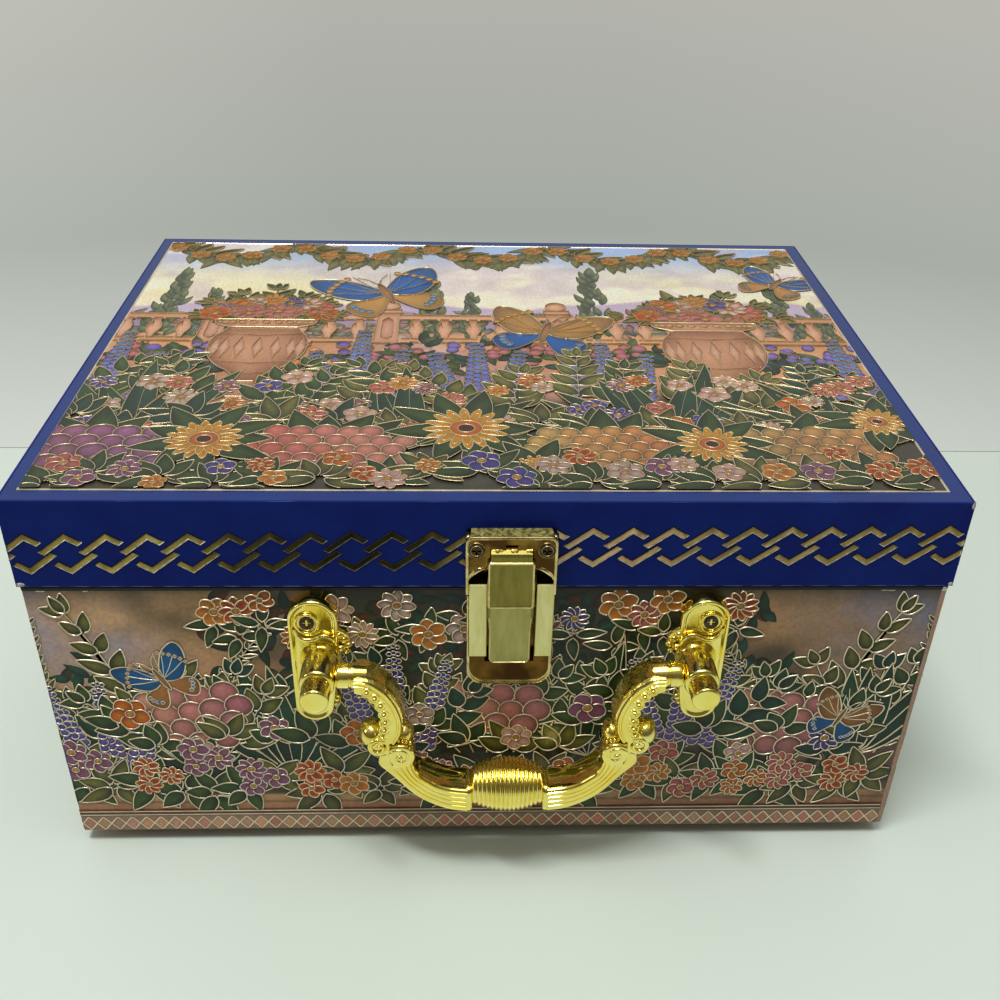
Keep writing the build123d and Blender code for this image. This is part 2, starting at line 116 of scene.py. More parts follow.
def painted(name, rough=0.36, coat=0.0, metal=0.0, spec=0.3, value=(0.54, 0.72)):
    """colours painted on the piece itself"""
    m, nt, p = new_mat(name)
    a = nt.nodes.new("ShaderNodeAttribute")
    a.attribute_name = "Col"
    g = nt.nodes.new("ShaderNodeHueSaturation")
    g.inputs["Saturation"].default_value = 1.0
    nt.links.new(a.outputs["Color"], g.inputs["Color"])
    g.inputs["Saturation"].default_value = 1.12
    nt.links.new(ramp(nt, noise(nt, 900.0, 2.0), 0.3, 0.7, value[0] if metal == 0 else 0.95, value[1] if metal == 0 else 1.05), g.inputs["Value"])
    nt.links.new(g.outputs[0], p.inputs["Base Color"])
    p.inputs["Roughness"].default_value = rough
    p.inputs["Metallic"].default_value = metal
    p.inputs["Coat Weight"].default_value = coat
    p.inputs["Coat Roughness"].default_value = 0.15
    p.inputs["Specular IOR Level"].default_value = spec
    return m


M = {
    "print": painted("printed_gloss_paper"),
    "lidprint": painted("printed_lid_paper", rough=0.30, spec=0.5, value=(0.58, 0.76)),
    "lidfoil": plain("lid_gold_foil", (0.50, 0.40, 0.22), (0.66, 0.55, 0.34), 0.36, metal=0.6, scale=160),
    "foil": plain("cream_gold_foil", (0.66, 0.54, 0.36), (0.82, 0.72, 0.52), 0.34, metal=0.65, scale=160),
    "chainfoil": painted("chain_gold_foil", rough=0.24, metal=0.95),
    "chainrim": plain("chain_foil_rim", (0.66, 0.60, 0.42), (0.80, 0.74, 0.56), 0.25, metal=0.9, scale=160),
    "blue": plain("royal_blue_wrap", (0.002, 0.009, 0.120), (0.003, 0.014, 0.146), 0.30, scale=60, bumps=0.05, bscale=1400, spec=0.07),
    # the top border's blue is a little lighter than the wrap's: painted sheen from the ceiling
    "bluetop": plain("royal_blue_border_painted_sheen", (0.003, 0.019, 0.128), (0.004, 0.025, 0.155), 0.28, scale=60, spec=0.34),
    "blueworn": plain("worn_corner_paper", (0.10, 0.09, 0.13), (0.52, 0.46, 0.42), 0.7, scale=900),
    # lighter blue for the lid's edge lines: partly rubbed paper on the top edge, and painted highlight on both edges
    "blueedge": plain("rubbed_and_highlit_blue_edge", (0.020, 0.040, 0.20), (0.075, 0.11, 0.30), 0.45, scale=260, spec=0.3),
    "chip": plain("chipped_paper", (0.55, 0.50, 0.38), (0.86, 0.83, 0.72), 0.6, scale=900),
    "dark": plain("dark_plain_paper", (0.012, 0.014, 0.035), (0.02, 0.022, 0.05), 0.7),
    "lining": plain("gold_lining_paper", (0.62, 0.47, 0.20), (0.72, 0.57, 0.28), 0.55, scale=500, bumps=0.1),
    "divider": plain("divider_card", (0.55, 0.41, 0.20), (0.64, 0.50, 0.27), 0.65, scale=400, bumps=0.1),
    "board": plain("raw_fibreboard", (0.50, 0.35, 0.20), (0.62, 0.46, 0.29), 0.85, scale=500, bumps=0.25),
    "foot": plain("black_foot_plastic", (0.014, 0.014, 0.015), (0.022, 0.022, 0.024), 0.6, scale=600, bumps=0.1),
    "gold": plain("bright_gold_plating", (0.92, 0.74, 0.16), (0.97, 0.84, 0.26), 0.13, metal=1.0, scale=110, bumps=0.10, bscale=300, rspread=0.05),
    "hammered": plain("hammered_gold_plating", (0.90, 0.70, 0.13), (0.97, 0.82, 0.24), 0.16, metal=1.0, scale=90, bumps=0.75, bscale=620, rspread=0.04),
    # lighter and darker copies of the latch brass: the dark antique plates and the light olive and cream sheets differ
    # partly by finish and partly as painted reflection, dark where the room is reflected and light where the table is
    "antiquedark": plain("antique_gold_dark_with_painted_reflection", (0.050, 0.022, 0.006), (0.17, 0.085, 0.016), 0.16, metal=1.0, scale=75, rspread=0.04, lo=0.40, hi=0.62),
    "antique": plain("antique_gold_plate_with_painted_reflection", (0.075, 0.034, 0.008), (0.24, 0.135, 0.026), 0.17, metal=1.0, scale=110, rspread=0.04, lo=0.42, hi=0.60),
    # bright rim brass: a painted highlight on the latch's turned edges and beads, and the worn corners of the lid
    # plate
    "antiquerim": plain("antique_gold_rim_worn_and_highlit", (0.52, 0.39, 0.15), (0.74, 0.60, 0.29), 0.18, metal=1.0, scale=300, rspread=0.04),
    "olive": plain("olive_gold_sheet", (0.175, 0.145, 0.030), (0.26, 0.215, 0.05), 0.40, metal=0.9, scale=500, stretch=(1, 1, 0.2)),
    "olivewall": plain("olive_gold_wall", (0.11, 0.10, 0.025), (0.40, 0.36, 0.12), 0.5, metal=0.45, scale=800, bumps=0.2, lo=0.40, hi=0.60),
    "bronzering": plain("bronze_ring", (0.14, 0.10, 0.04), (0.46, 0.35, 0.16), 0.25, metal=1.0, scale=500),
    "olivelight": plain("olive_gold_lever", (0.33, 0.295, 0.09), (0.42, 0.385, 0.135), 0.42, metal=0.85, scale=500, stretch=(1, 1, 0.2)),
    "creambar": plain("cream_gold_sheet", (0.64, 0.58, 0.22), (0.76, 0.70, 0.32), 0.38, metal=0.7, scale=500, stretch=(1, 1, 0.2)),
    "hinge": plain("hinge_brass", (0.60, 0.44, 0.17), (0.72, 0.55, 0.24), 0.30, metal=1.0, scale=150),
    "steel": plain("zinc_steel", (0.48, 0.48, 0.47), (0.62, 0.62, 0.60), 0.35, metal=1.0, scale=300),
    "creamlip": plain("cream_gold_lip", (0.20, 0.13, 0.03), (0.46, 0.34, 0.10), 0.32, metal=0.9, scale=700, stretch=(1, 1, 0.15)),
    "printbase": plain("printed_paper_edge", (0.36, 0.20, 0.15), (0.48, 0.28, 0.18), 0.4, scale=60),
    "screw": plain("bronze_screw", (0.020, 0.012, 0.006), (0.085, 0.055, 0.024), 0.24, metal=1.0, scale=500),
    "darkscrew": plain("dark_screw", (0.035, 0.022, 0.018), (0.10, 0.06, 0.05), 0.30, metal=0.9, scale=500),
}


# ------------------------------------------------------------------ mesh helpers
class Mesh:
    def __init__(self):
        self.v, self.f, self.c = [], [], []
        self.n = 0

    def add(self, verts, faces, cols=None):
        verts = np.asarray(verts, float).reshape(-1, 3)
        self.v.append(verts)
        self.f += [tuple(i + self.n for i in f) for f in faces]
        if cols is not None:
            self.c.append(np.broadcast_to(np.asarray(cols, float), (len(verts), 3)))
        self.n += len(verts)

    def build(self, name, material, body, slot=None, smooth=True, world=True, angle=38):
        v = np.vstack(self.v)
        if world:
            v = (v + np.array([0, S, 0])) * MM
        me = bpy.data.meshes.new(name)
        me.from_pydata(v.tolist(), [], self.f)
        if self.c:
            c = np.vstack(self.c)
            at = me.color_attributes.new("Col", "FLOAT_COLOR", "POINT")
            at.data.foreach_set("color", np.hstack([c, np.ones((len(c), 1))]).astype(np.float32).ravel())
        me.materials.append(material)
        me.validate()
        me.update()
        if smooth:
            me.shade_smooth()
            me.set_sharp_from_angle(angle=math.radians(angle))
        ob = bpy.data.objects.new(name, me)
        bpy.context.scene.collection.objects.link(ob)
        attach(ob, body)
        return ob


def front_pt(p, k, base=FRONT):
    """(x, z) on the front, k mm before it"""
    return (p[0], base - k, p[1])


def resample(pts, n, closed=False):
    p = np.asarray(pts, float)
    if closed:
        p = np.vstack([p, p[:1]])
    d = np.r_[0, np.cumsum(np.linalg.norm(np.diff(p, axis=0), axis=1))]
    t = np.linspace(0, d[-1], n + (1 if closed else 0))
    out = np.stack([np.interp(t, d, p[:, i]) for i in range(p.shape[1])], -1)
    return out[:-1] if closed else out


def smooth_curve(pts, n, closed=False):
    """Catmull-Rom through the points, evenly resampled"""
    p = np.asarray(pts, float)
    if closed:
        q = np.vstack([p[-1:], p, p[:2]])
    else:
        q = np.vstack([2 * p[:1] - p[1:2], p, 2 * p[-1:] - p[-2:-1]])
    out = []
    for i in range(1, len(q) - 2):
        for t in np.linspace(0, 1, 9)[:-1]:
            a, b, c, d = q[i - 1], q[i], q[i + 1], q[i + 2]
            out.append(0.5 * (2 * b + (c - a) * t + (2 * a - 5 * b + 4 * c - d) * t * t + (3 * b - a - 3 * c + d) * t ** 3))
    if not closed:
        out.append(q[-2])
    return resample(np.array(out), n, closed)


def offset(poly, d):
    """closed outline moved inwards by d"""
    p = np.asarray(poly, float)
    area = 0.5 * np.sum(p[:, 0] * np.roll(p[:, 1], -1) - np.roll(p[:, 0], -1) * p[:, 1])
    a = p - np.roll(p, 1, 0)
    b = np.roll(p, -1, 0) - p
    a /= np.linalg.norm(a, axis=1)[:, None] + 1e-12
    b /= np.linalg.norm(b, axis=1)[:, None] + 1e-12
    na, nb = np.stack([-a[:, 1], a[:, 0]], -1), np.stack([-b[:, 1], b[:, 0]], -1)
    n = na + nb
    n /= np.linalg.norm(n, axis=1)[:, None] + 1e-12
    c = np.clip((n * na).sum(1), 0.5, 1)
    return p + n * (d / c)[:, None] * (1 if area > 0 else -1)


def stack(mesh, outline, levels, base=FRONT, cap=True, back_cap=True, place=None):
    """outline in (x, z) raised through levels [(inset, k), ...]"""
    place = place or (lambda q, k: front_pt(q, k, base))
    n = len(outline)
    vs = []
    for ins, k in levels:
        ring = offset(outline, ins) if abs(ins) > 1e-9 else np.asarray(outline, float)
        vs += [place(q, k) for q in ring]
    fs = []
    for j in range(len(levels) - 1):
        for i in range(n):
            a, b = j * n + i, j * n + (i + 1) % n
            fs.append((a, b, b + n, a + n))
    if cap:
        c = np.mean(np.asarray(vs[-n:]), 0)
        vs.append(tuple(c))
        ci = len(vs) - 1
        o = (len(levels) - 1) * n
        fs += [(o + i, o + (i + 1) % n, ci) for i in range(n)]
    if back_cap:
        c = np.mean(np.asarray(vs[:n]), 0)
        vs.append(tuple(c))
        ci = len(vs) - 1
        fs += [((i + 1) % n, i, ci) for i in range(n)]
    mesh.add(vs, fs)


def rrect(x0, x1, z0, z1, r, seg=6, corners=(1, 1, 1, 1)):
    """rounded rectangle; corners: low-left, low-right, top-right, top-left"""
    out = []
    for (cx, cz, a0), on in zip([(x0, z0, 180), (x1, z0, 270), (x1, z1, 0), (x0, z1, 90)], corners):
        rr = r if on else 0.05
        ox = cx + rr if cx == x0 else cx - rr
        oz = cz + rr if cz == z0 else cz - rr
        for i in range(seg + 1):
            a = math.radians(a0 + 90 * i / seg)
            out.append((ox + rr * math.cos(a), oz + rr * math.sin(a)))
    return np.array(out)


def dense(poly, step):
    """more points along a closed outline"""
    p = np.asarray(poly, float)
    out = []
    for i in range(len(p)):
        a, b = p[i], p[(i + 1) % len(p)]
        m = max(1, int(np.linalg.norm(b - a) / step))
        out += [a + (b - a) * t / m for t in range(m)]
    return np.array(out)


def tube(mesh, pts, r, seg=8, closed=False, flat=1.0, radii=None):
    """round bead along 3-D points"""
    p = np.asarray(pts, float)
    n = len(p)
    if closed:
        tan = np.roll(p, -1, 0) - np.roll(p, 1, 0)
    else:
        tan = np.gradient(p, axis=0)
    tan /= np.linalg.norm(tan, axis=1)[:, None] + 1e-12
    ref = np.array([0, 1.0, 0])
    vs = []
    for i in range(n):
        t = tan[i]
        a = np.cross(t, ref)
        if np.linalg.norm(a) < 1e-3:
            a = np.cross(t, np.array([1.0, 0, 0]))
        a /= np.linalg.norm(a)
        b = np.cross(a, t)
        rr = r if radii is None else radii[i]
        for s in range(seg):
            g = 2 * math.pi * s / seg
            vs.append(p[i] + a * rr * math.cos(g) + b * rr * flat * math.sin(g))
    fs = []
    m = n if closed else n - 1
    for i in range(m):
        for s in range(seg):
            a, b = i * seg + s, i * seg + (s + 1) % seg
            c, d = ((i + 1) % n) * seg + s, ((i + 1) % n) * seg + (s + 1) % seg
            fs.append((a, b, d, c))
    if not closed:
        fs.append(tuple(range(seg))[::-1])
        fs.append(tuple((n - 1) * seg + s for s in range(seg)))
    mesh.add(vs, fs)


def lathe(mesh, prof, origin, axis, seg=48, ripple=None):
    """prof [(along, radius)] turned about an axis ('x' or 'k') through origin (x, y, z)"""
    vs, fs = [], []
    n = len(prof)
    for a, r in prof:
        for s in range(seg):
            g = 2 * math.pi * s / seg
            c, d = r * math.cos(g), r * math.sin(g)
            vs.append((origin[0] + a, origin[1] + c, origin[2] + d) if axis == "x" else (origin[0] + c, origin[1] - a, origin[2] + d))
    for i in range(n - 1):
        for s in range(seg):
            a, b = i * seg + s, i * seg + (s + 1) % seg
            fs.append((a, b, b + seg, a + seg))
    fs.append(tuple(range(seg))[::-1])
    fs.append(tuple((n - 1) * seg + s for s in range(seg)))
    mesh.add(vs, fs)


def ball(mesh, c, r, seg=14, rings=8, dome=False):
    """ellipsoid at (x, y, z) with radii (rx, ry, rz)"""
    vs, fs = [], []
    for i in range(rings + 1):
        th = math.pi * i / rings
        for s in range(seg):
            g = 2 * math.pi * s / seg
            vs.append((c[0] + r[0] * math.sin(th) * math.cos(g), c[1] - r[1] * math.cos(th), c[2] + r[2] * math.sin(th) * math.sin(g)))
    for i in range(rings):
        for s in range(seg):
            a, b = i * seg + s, i * seg + (s + 1) % seg
            fs.append((a, b, b + seg, a + seg))
    mesh.add(vs, fs)


# ------------------------------------------------------------------ painted panels
def value_noise(u, v, scale, seed, octaves=4):
    out, amp, tot = 0.0, 1.0, 0.0
    for o in range(octaves):
        rs = np.random.RandomState(seed + 17 * o)
        g = rs.rand(64, 64)
        x, y = np.asarray(u) / scale * 2 ** o + 13.7, np.asarray(v) / scale * 2 ** o + 7.3
        xi, yi = np.floor(x).astype(int), np.floor(y).astype(int)
        fx, fy = x - xi, y - yi
        fx, fy = fx * fx * (3 - 2 * fx), fy * fy * (3 - 2 * fy)
        a, b = g[xi % 64, yi % 64], g[(xi + 1) % 64, yi % 64]
        c, d = g[xi % 64, (yi + 1) % 64], g[(xi + 1) % 64, (yi + 1) % 64]
        out = out + amp * ((a * (1 - fx) + b * fx) * (1 - fy) + (c * (1 - fx) + d * fx) * fy)
        tot += amp
        amp *= 0.5
    return out / tot


def lerp(a, b, t):
    t = np.clip(t, 0, 1)[..., None] if hasattr(t, "shape") else min(1, max(0, t))
    return np.asarray(a) * (1 - t) + np.asarray(b) * t


def sst(x, a, b):
    t = np.clip((np.asarray(x, float) - a) / (b - a), 0, 1)
    return t * t * (3 - 2 * t)


def clip_poly(poly, box):
    u0, u1, v0, v1 = box
    p = [tuple(q) for q in poly]
    for ax, lim, sgn in ((0, u0, 1), (0, u1, -1), (1, v0, 1), (1, v1, -1)):
        out = []
        for i in range(len(p)):
            a, b = p[i], p[(i + 1) % len(p)]
            ia, ib = sgn * (a[ax] - lim) >= 0, sgn * (b[ax] - lim) >= 0
            if ia:
                out.append(a)
            if ia != ib:
                t = (lim - a[ax]) / (b[ax] - a[ax])
                out.append((a[0] + t * (b[0] - a[0]), a[1] + t * (b[1] - a[1])))
        p = out
        if len(p) < 3:
            return None
    return np.array(p)


def inside(pts, poly):
    """which points lie in a closed outline"""
    x, y = pts[:, 0][:, None], pts[:, 1][:, None]
    px, py = poly[:, 0][None], poly[:, 1][None]
    qx, qy = np.roll(px, -1, 1), np.roll(py, -1, 1)
    cond = (py > y) != (qy > y)
    xx = (qx - px) * (y - py) / (qy - py + 1e-12) + px
    return ((cond & (x < xx)).sum(1) % 2).astype(bool)


class Art:
    """flat painted shapes laid over each other, with raised foil lines on what stays visible"""
    PX = 0.32

    def __init__(self, box, seed, foil_w=1.0, shade=None, finish=("print", "foil")):
        self.box, self.shapes, self.r, self.foil_w, self.shade, self.finish = box, [], random.Random(seed), foil_w, shade, finish

    def shape(self, poly, cin, cout, lines=(), outline=0.5, centre=None, split=None, grad=None):
        p = clip_poly(poly, self.box)
        if p is None:
            return
        full = np.asarray(poly, float)
        self.shapes.append({"p": p, "full": full, "cin": cin, "cout": cout, "lines": list(lines), "w": outline, "grad": grad,
                            "c": np.mean(p, 0) if centre is None or len(p) != len(full) else np.asarray(centre), "split": split})

    def cover(self):
        """number of the topmost shape over a fine grid of points"""
        u0, u1, v0, v1 = self.box
        nu, nv = int((u1 - u0) / self.PX) + 2, int((v1 - v0) / self.PX) + 2
        top = np.full((nu, nv), -1)
        for i, s in enumerate(self.shapes):
            p = s["p"]
            a0, a1 = max(0, int((p[:, 0].min() - u0) / self.PX)), min(nu, int((p[:, 0].max() - u0) / self.PX) + 2)
            b0, b1 = max(0, int((p[:, 1].min() - v0) / self.PX)), min(nv, int((p[:, 1].max() - v0) / self.PX) + 2)
            gu, gv = np.meshgrid(u0 + np.arange(a0, a1) * self.PX, v0 + np.arange(b0, b1) * self.PX, indexing="ij")
            if gu.size:
                k = inside(np.stack([gu.ravel(), gv.ravel()], -1), p).reshape(gu.shape)
                top[a0:a1, b0:b1][k] = i
        return top

    def build(self, place, name, body, slot, h0=0.02, dh=0.0005, step=0.9, foil_h=0.11, chunks=1):
        fills = Mesh()
        foils = [Mesh() for _ in range(chunks)]
        n = len(self.shapes)
        top = self.cover()
        seen = np.bincount(top[top >= 0].ravel(), minlength=n)
        u0, v0 = self.box[0], self.box[2]
        for i, s in enumerate(self.shapes):
            if seen[i] == 0:
                continue
            h = h0 + i * dh
            p = s["p"]
            m = len(p)
            c = s["c"]
            vs, cs = [], []
            cin, cout = np.array(s["cin"]), np.array(s["cout"])
            for f, col in ((1.0, cout), (0.62, cin * 0.6 + cout * 0.4)):
                ring = c + (p - c) * f
                vs += [place(q[0], q[1], h) for q in ring]
                cc = np.tile(col, (m, 1))
                if s["split"] is not None:     # one half of a leaf is darker
                    o, d, k = s["split"]
                    side = (ring[:, 0] - o[0]) * d[1] - (ring[:, 1] - o[1]) * d[0]
                    cc = cc * np.where(side > 0, 1.0, k)[:, None]
                if s["grad"] is not None:      # and the tip is lighter than the foot
                    o, d, c0, c1 = s["grad"]
                    g = np.clip((ring[:, 0] - o[0]) * d[0] + (ring[:, 1] - o[1]) * d[1], 0, 1)[:, None]
                    cc = cc * (np.asarray(c0) * (1 - g) + np.asarray(c1) * g)
                cs.append(cc)
            vs.append(place(c[0], c[1], h))
            cs.append(cin[None])
            fs = [(a, (a + 1) % m, (a + 1) % m + m, a + m) for a in range(m)] + [(m + a, m + (a + 1) % m, 2 * m) for a in range(m)]
            cs = np.clip(np.vstack(cs), 0, 1)
            # colours scaled by the panel's shade factor: painted shade under the lid and towards the right on the case
            # walls; on the lid panel it darkens the shapes towards the front edge
            if self.shade is not None:
                q = np.vstack([p, c + (p - c) * 0.62, c[None]])
                cs = cs * self.shade(q[:, 0], q[:, 1])[:, None]
            fills.add(vs, fs, cs)
            lines = list(s["lines"])
            if s["w"] > 0:
                q = s["full"]
                lines.append((np.vstack([q, q[:1]]), s["w"]))
            for pts, w in lines:
                pts = np.asarray(pts, float)
                length = np.linalg.norm(np.diff(pts, axis=0), axis=1).sum()
                if length < 0.8:
                    continue
                q = resample(pts, max(3, int(length / step) + 1))
                hid = (q[:, 0] < self.box[0] + 0.1) | (q[:, 0] > self.box[1] - 0.1) | (q[:, 1] < self.box[2] + 0.1) | (q[:, 1] > self.box[3] - 0.1)
                a = np.clip(((q[:, 0] - u0) / self.PX).round().astype(int), 0, top.shape[0] - 1)
                b = np.clip(((q[:, 1] - v0) / self.PX).round().astype(int), 0, top.shape[1] - 1)
                hid |= top[a, b] > i
                hh = h0 + n * dh
                run = []
                for a in range(len(q) + 1):
                    if a < len(q) and not hid[a]:
                        run.append(a)
                        continue
                    if len(run) >= 2:
                        self.ridge(foils[min(chunks - 1, int((q[run[0], 0] - self.box[0]) / (self.box[1] - self.box[0]) * chunks))],
                                   q[run], w, h, hh + foil_h, place)
                    run = []
        fills.build(name + "_print", M[self.finish[0]], body, slot, smooth=False)
        for k, fo in enumerate(foils):
            if fo.n:
                fo.build(name + "_foil_%d" % k, M[self.finish[1]], body, slot, smooth=True, angle=80)

    def ridge(self, mesh, q, w, hb, ht, place):
        t = np.gradient(q, axis=0)
        t /= np.linalg.norm(t, axis=1)[:, None] + 1e-12
        nrm = np.stack([-t[:, 1], t[:, 0]], -1)
        vs = []
        for (x, y), nn in zip(q, nrm):
            for o, h in ((-0.40, hb), (-0.20, ht), (0.20, ht), (0.40, hb)):
                o *= self.foil_w
                vs.append(place(x + nn[0] * o * w, y + nn[1] * o * w, h))
        fs = []
        for i in range(len(q) - 1):
            for k in range(3):
                a = i * 4 + k
                fs.append((a, a + 4, a + 5, a + 1))
        fs.append((0, 1, 2, 3))
        e = (len(q) - 1) * 4
        fs.append((e + 3, e + 2, e + 1, e))
        mesh.add(vs, fs)

    # ---- motifs
    def jit(self, c, a=0.12):
        k = 1 + self.r.uniform(-a, a)
        return tuple(max(0.0, x * k * (1 + self.r.uniform(-a / 2, a / 2))) for x in c)

    def leaf(self, x, y, ang, ln, wd, cin, cout, w=0.5, veins=0, bend=0.0, tip=1.5):
        n = 9
        up, dn = [], []
        ax = []
        for i in range(n + 1):
            t = i / n
            s = wd * 0.5 * (math.sin(math.pi * t ** 0.75) ** 0.85) * (1 - 0.1 * t)
            a = bend * t * t * ln
            ax.append((t * ln, a))
            up.append((t * ln, a + s))
            dn.append((t * ln, a - s))
        ca, sa = math.cos(ang), math.sin(ang)
        tr = lambda q: (x + q[0] * ca - q[1] * sa, y + q[0] * sa + q[1] * ca)
        poly = [tr(q) for q in up] + [tr(q) for q in reversed(dn[1:-1])]
        lines = [([tr(q) for q in ax[:-2]], w * 0.7)] if veins else []
        self.shape(poly, self.jit(cin), self.jit(cout), lines=lines, outline=w, split=((x, y), (ca, sa), 0.55),
                   grad=((x, y), (ca / ln, sa / ln), (0.65, 0.7, 0.7), (tip * 1.1, tip, tip * 0.7)))

    def disc(self, x, y, r, cin, cout, w=0.5, n=14, squash=1.0, ang=0.0, off=0.3):
        poly = []
        for i in range(n):
            g = 2 * math.pi * i / n
            a, b = r * math.cos(g), r * squash * math.sin(g)
            poly.append((x + a * math.cos(ang) - b * math.sin(ang), y + a * math.sin(ang) + b * math.cos(ang)))
        self.shape(poly, cin, cout, outline=w, centre=(x - r * off * 0.6, y + r * off))

    def petals(self, x, y, r, n, cin, cout, w=0.5, width=1.0, r0=0.3, phase=0.0, squash=1.0):
        for k in range(n):
            g = phase + 2 * math.pi * k / n
            ln = r * (1 - r0)
            wd = 2 * math.pi * r * 0.62 / n * width
            poly = []
            m = 7
            for i in range(m + 1):
                t = i / m
                s = wd * 0.5 * math.sin(math.pi * min(1, t * 0.9 + 0.08)) ** 0.6
                poly.append((r * r0 + ln * t, s))
            full = poly + [(a, -b) for a, b in reversed(poly)]
            ca, sa = math.cos(g), math.sin(g)
            self.shape([(x + a * ca - b * sa, y + (a * sa + b * ca) * squash) for a, b in full], self.jit(cin, 0.08), self.jit(cout, 0.08), outline=w,
                       grad=((x, y), (ca / r, sa / r), (0.55, 0.5, 0.55), (1.25, 1.25, 1.2)))

    def daisy(self, x, y, r, n=16, inner=(0.80, 0.33, 0.08), outer=(0.85, 0.55, 0.12), w=0.5, squash=1.0):
        self.petals(x, y, r, n, inner, outer, w, phase=self.r.random(), squash=squash)
        self.petals(x, y, r * 0.80, n, outer, inner, w, phase=self.r.random(), squash=squash)
        self.disc(x, y, r * 0.38, (0.72, 0.25, 0.10), (0.60, 0.18, 0.07), w, n=20)
        self.disc(x, y, r * 0.20, (0.06, 0.015, 0.012), (0.16, 0.04, 0.025), w, n=14)

    def blossom(self, x, y, r, n=5, cin=(0.75, 0.35, 0.30), cout=(0.70, 0.45, 0.42), eye=(0.30, 0.05, 0.03), w=0.45):
        self.petals(x, y, r, n, cin, cout, w, width=1.25, r0=0.10, phase=self.r.random() * 2)
        self.disc(x, y, r * 0.25, (0.70, 0.45, 0.15), eye, 0.3, n=9)

    def cluster(self, x, y, rx, ry, rb, ca, cb, ang=0.0, w=0.45):
        """heap of round fruit, paler at one end"""
        pts = []
        j = 0
        yy = ry
        while yy > -ry:
            xx = -rx + (j % 2) * rb * 0.95
            while xx < rx:
                if (xx / rx) ** 2 + (yy / ry) ** 2 < 1:
                    pts.append((xx + self.r.uniform(-0.12, 0.12) * rb, yy + self.r.uniform(-0.1, 0.1) * rb))
                xx += rb * 1.85
            yy -= rb * 1.45
            j += 1
        for a, b in pts:
            t = (a / rx + 1) / 2
            c = tuple(ca[i] * (1 - t) + cb[i] * t for i in range(3))
            px, py = x + a * math.cos(ang) - b * math.sin(ang), y + a * math.sin(ang) + b * math.cos(ang)
            c = self.jit(c, 0.12)
            k = 0.75 + 0.45 * (b / ry + 1) / 2
            self.disc(px, py, rb * self.r.uniform(0.93, 1.1), tuple(min(1, v * 1.9 * k + 0.05) for v in c), tuple(v * 0.45 * k for v in c), w, n=12)

    def sprig(self, x, y, ang, ln, n, lw, cin, cout, bend=0.3, w=0.42, ratio=0.5, open_=0.8, tip=1.5):
        """stem with leaves on both sides"""
        px, py, a = x, y, ang
        spots = []
        for i in range(n):
            a += bend / n
            px += math.cos(a) * ln / n
            py += math.sin(a) * ln / n
            spots.append((px, py, a, i))
        if w and ln > 18:
            path = [(x, y)] + [(q[0], q[1]) for q in spots]
            k = len(path)
            wide = [(q[0] - 0.35, q[1]) for q in path] + [(q[0] + 0.35, q[1]) for q in reversed(path)]
            self.shape(wide, cout, cout, outline=0, lines=[(path, w)])
        for px, py, a, i in spots:
            k = 1 - 0.5 * i / n
            for sd in (-1, 1):
                self.leaf(px, py, a + sd * self.r.uniform(open_ - 0.12, open_ + 0.15), lw * k * self.r.uniform(0.85, 1.1), lw * k * ratio, cin, cout, w, 0,
                          bend=-sd * self.r.uniform(0.0, 0.2), tip=tip)
        self.leaf(px, py, a, lw * 0.55, lw * 0.55 * ratio, cin, cout, w, 0, tip=tip)

    def rosette(self, x, y, r, n, cin, cout, w=0.5, spread=(0, 2 * math.pi), ratio=0.45, veins=0, tip=1.5):
        for k in range(n):
            g = spread[0] + (spread[1] - spread[0]) * (k + self.r.uniform(-0.25, 0.25)) / max(1, n - (spread[1] - spread[0] < 6))
            self.leaf(x + math.cos(g) * r * 0.1, y + math.sin(g) * r * 0.1, g, r * self.r.uniform(0.8, 1.15), r * ratio, cin, cout, w, veins,
                      bend=self.r.uniform(-0.2, 0.2), tip=tip)

    def spike(self, x, y, ang, ln, r, ca, cb, w=0.38):
        """tall spire of little flowers"""
        n = int(ln / (r * 0.85))
        for i in range(n):
            t = i / n
            rr = r * (1 - 0.6 * t)
            px, py = x + math.cos(ang) * ln * t, y + math.sin(ang) * ln * t
            for sd in (-1, 0, 1):
                o = sd * rr * 0.95
                qx, qy = px - math.sin(ang) * o, py + math.cos(ang) * o - abs(sd) * rr * 0.3
                c = self.jit(tuple(ca[k] * (1 - t) + cb[k] * t for k in range(3)), 0.2)
                self.disc(qx, qy, rr * 0.66, tuple(min(1, v * 1.9 + 0.03) for v in c), tuple(v * 0.5 for v in c), w, n=8)

    def blades(self, x, y, n, ln, wd, cin, cout, a0, a1, w=0.5, veins=1):
        order = sorted(range(n), key=lambda k: -abs(k - (n - 1) / 2))
        for k in order:
            g = a0 + (a1 - a0) * k / max(1, n - 1) + self.r.uniform(-0.08, 0.08)
            self.leaf(x, y, g, ln * self.r.uniform(0.75, 1.1), wd, cin, cout, w, veins, bend=self.r.uniform(-0.2, 0.2), tip=1.9)

    def haze(self, x, y, rx, ry, n, size, cols):
        """soft far foliage without foil"""
        for k in range(n):
            g, q = self.r.uniform(0, 6.283), math.sqrt(self.r.random())
            c = self.jit(self.r.choice(cols), 0.3)
            self.leaf(x + math.cos(g) * q * rx, y + math.sin(g) * q * ry, self.r.uniform(0, 6.283), size * self.r.uniform(0.7, 1.3), size * 0.5,
                      tuple(v * 1.3 for v in c), tuple(v * 0.6 for v in c), w=0)

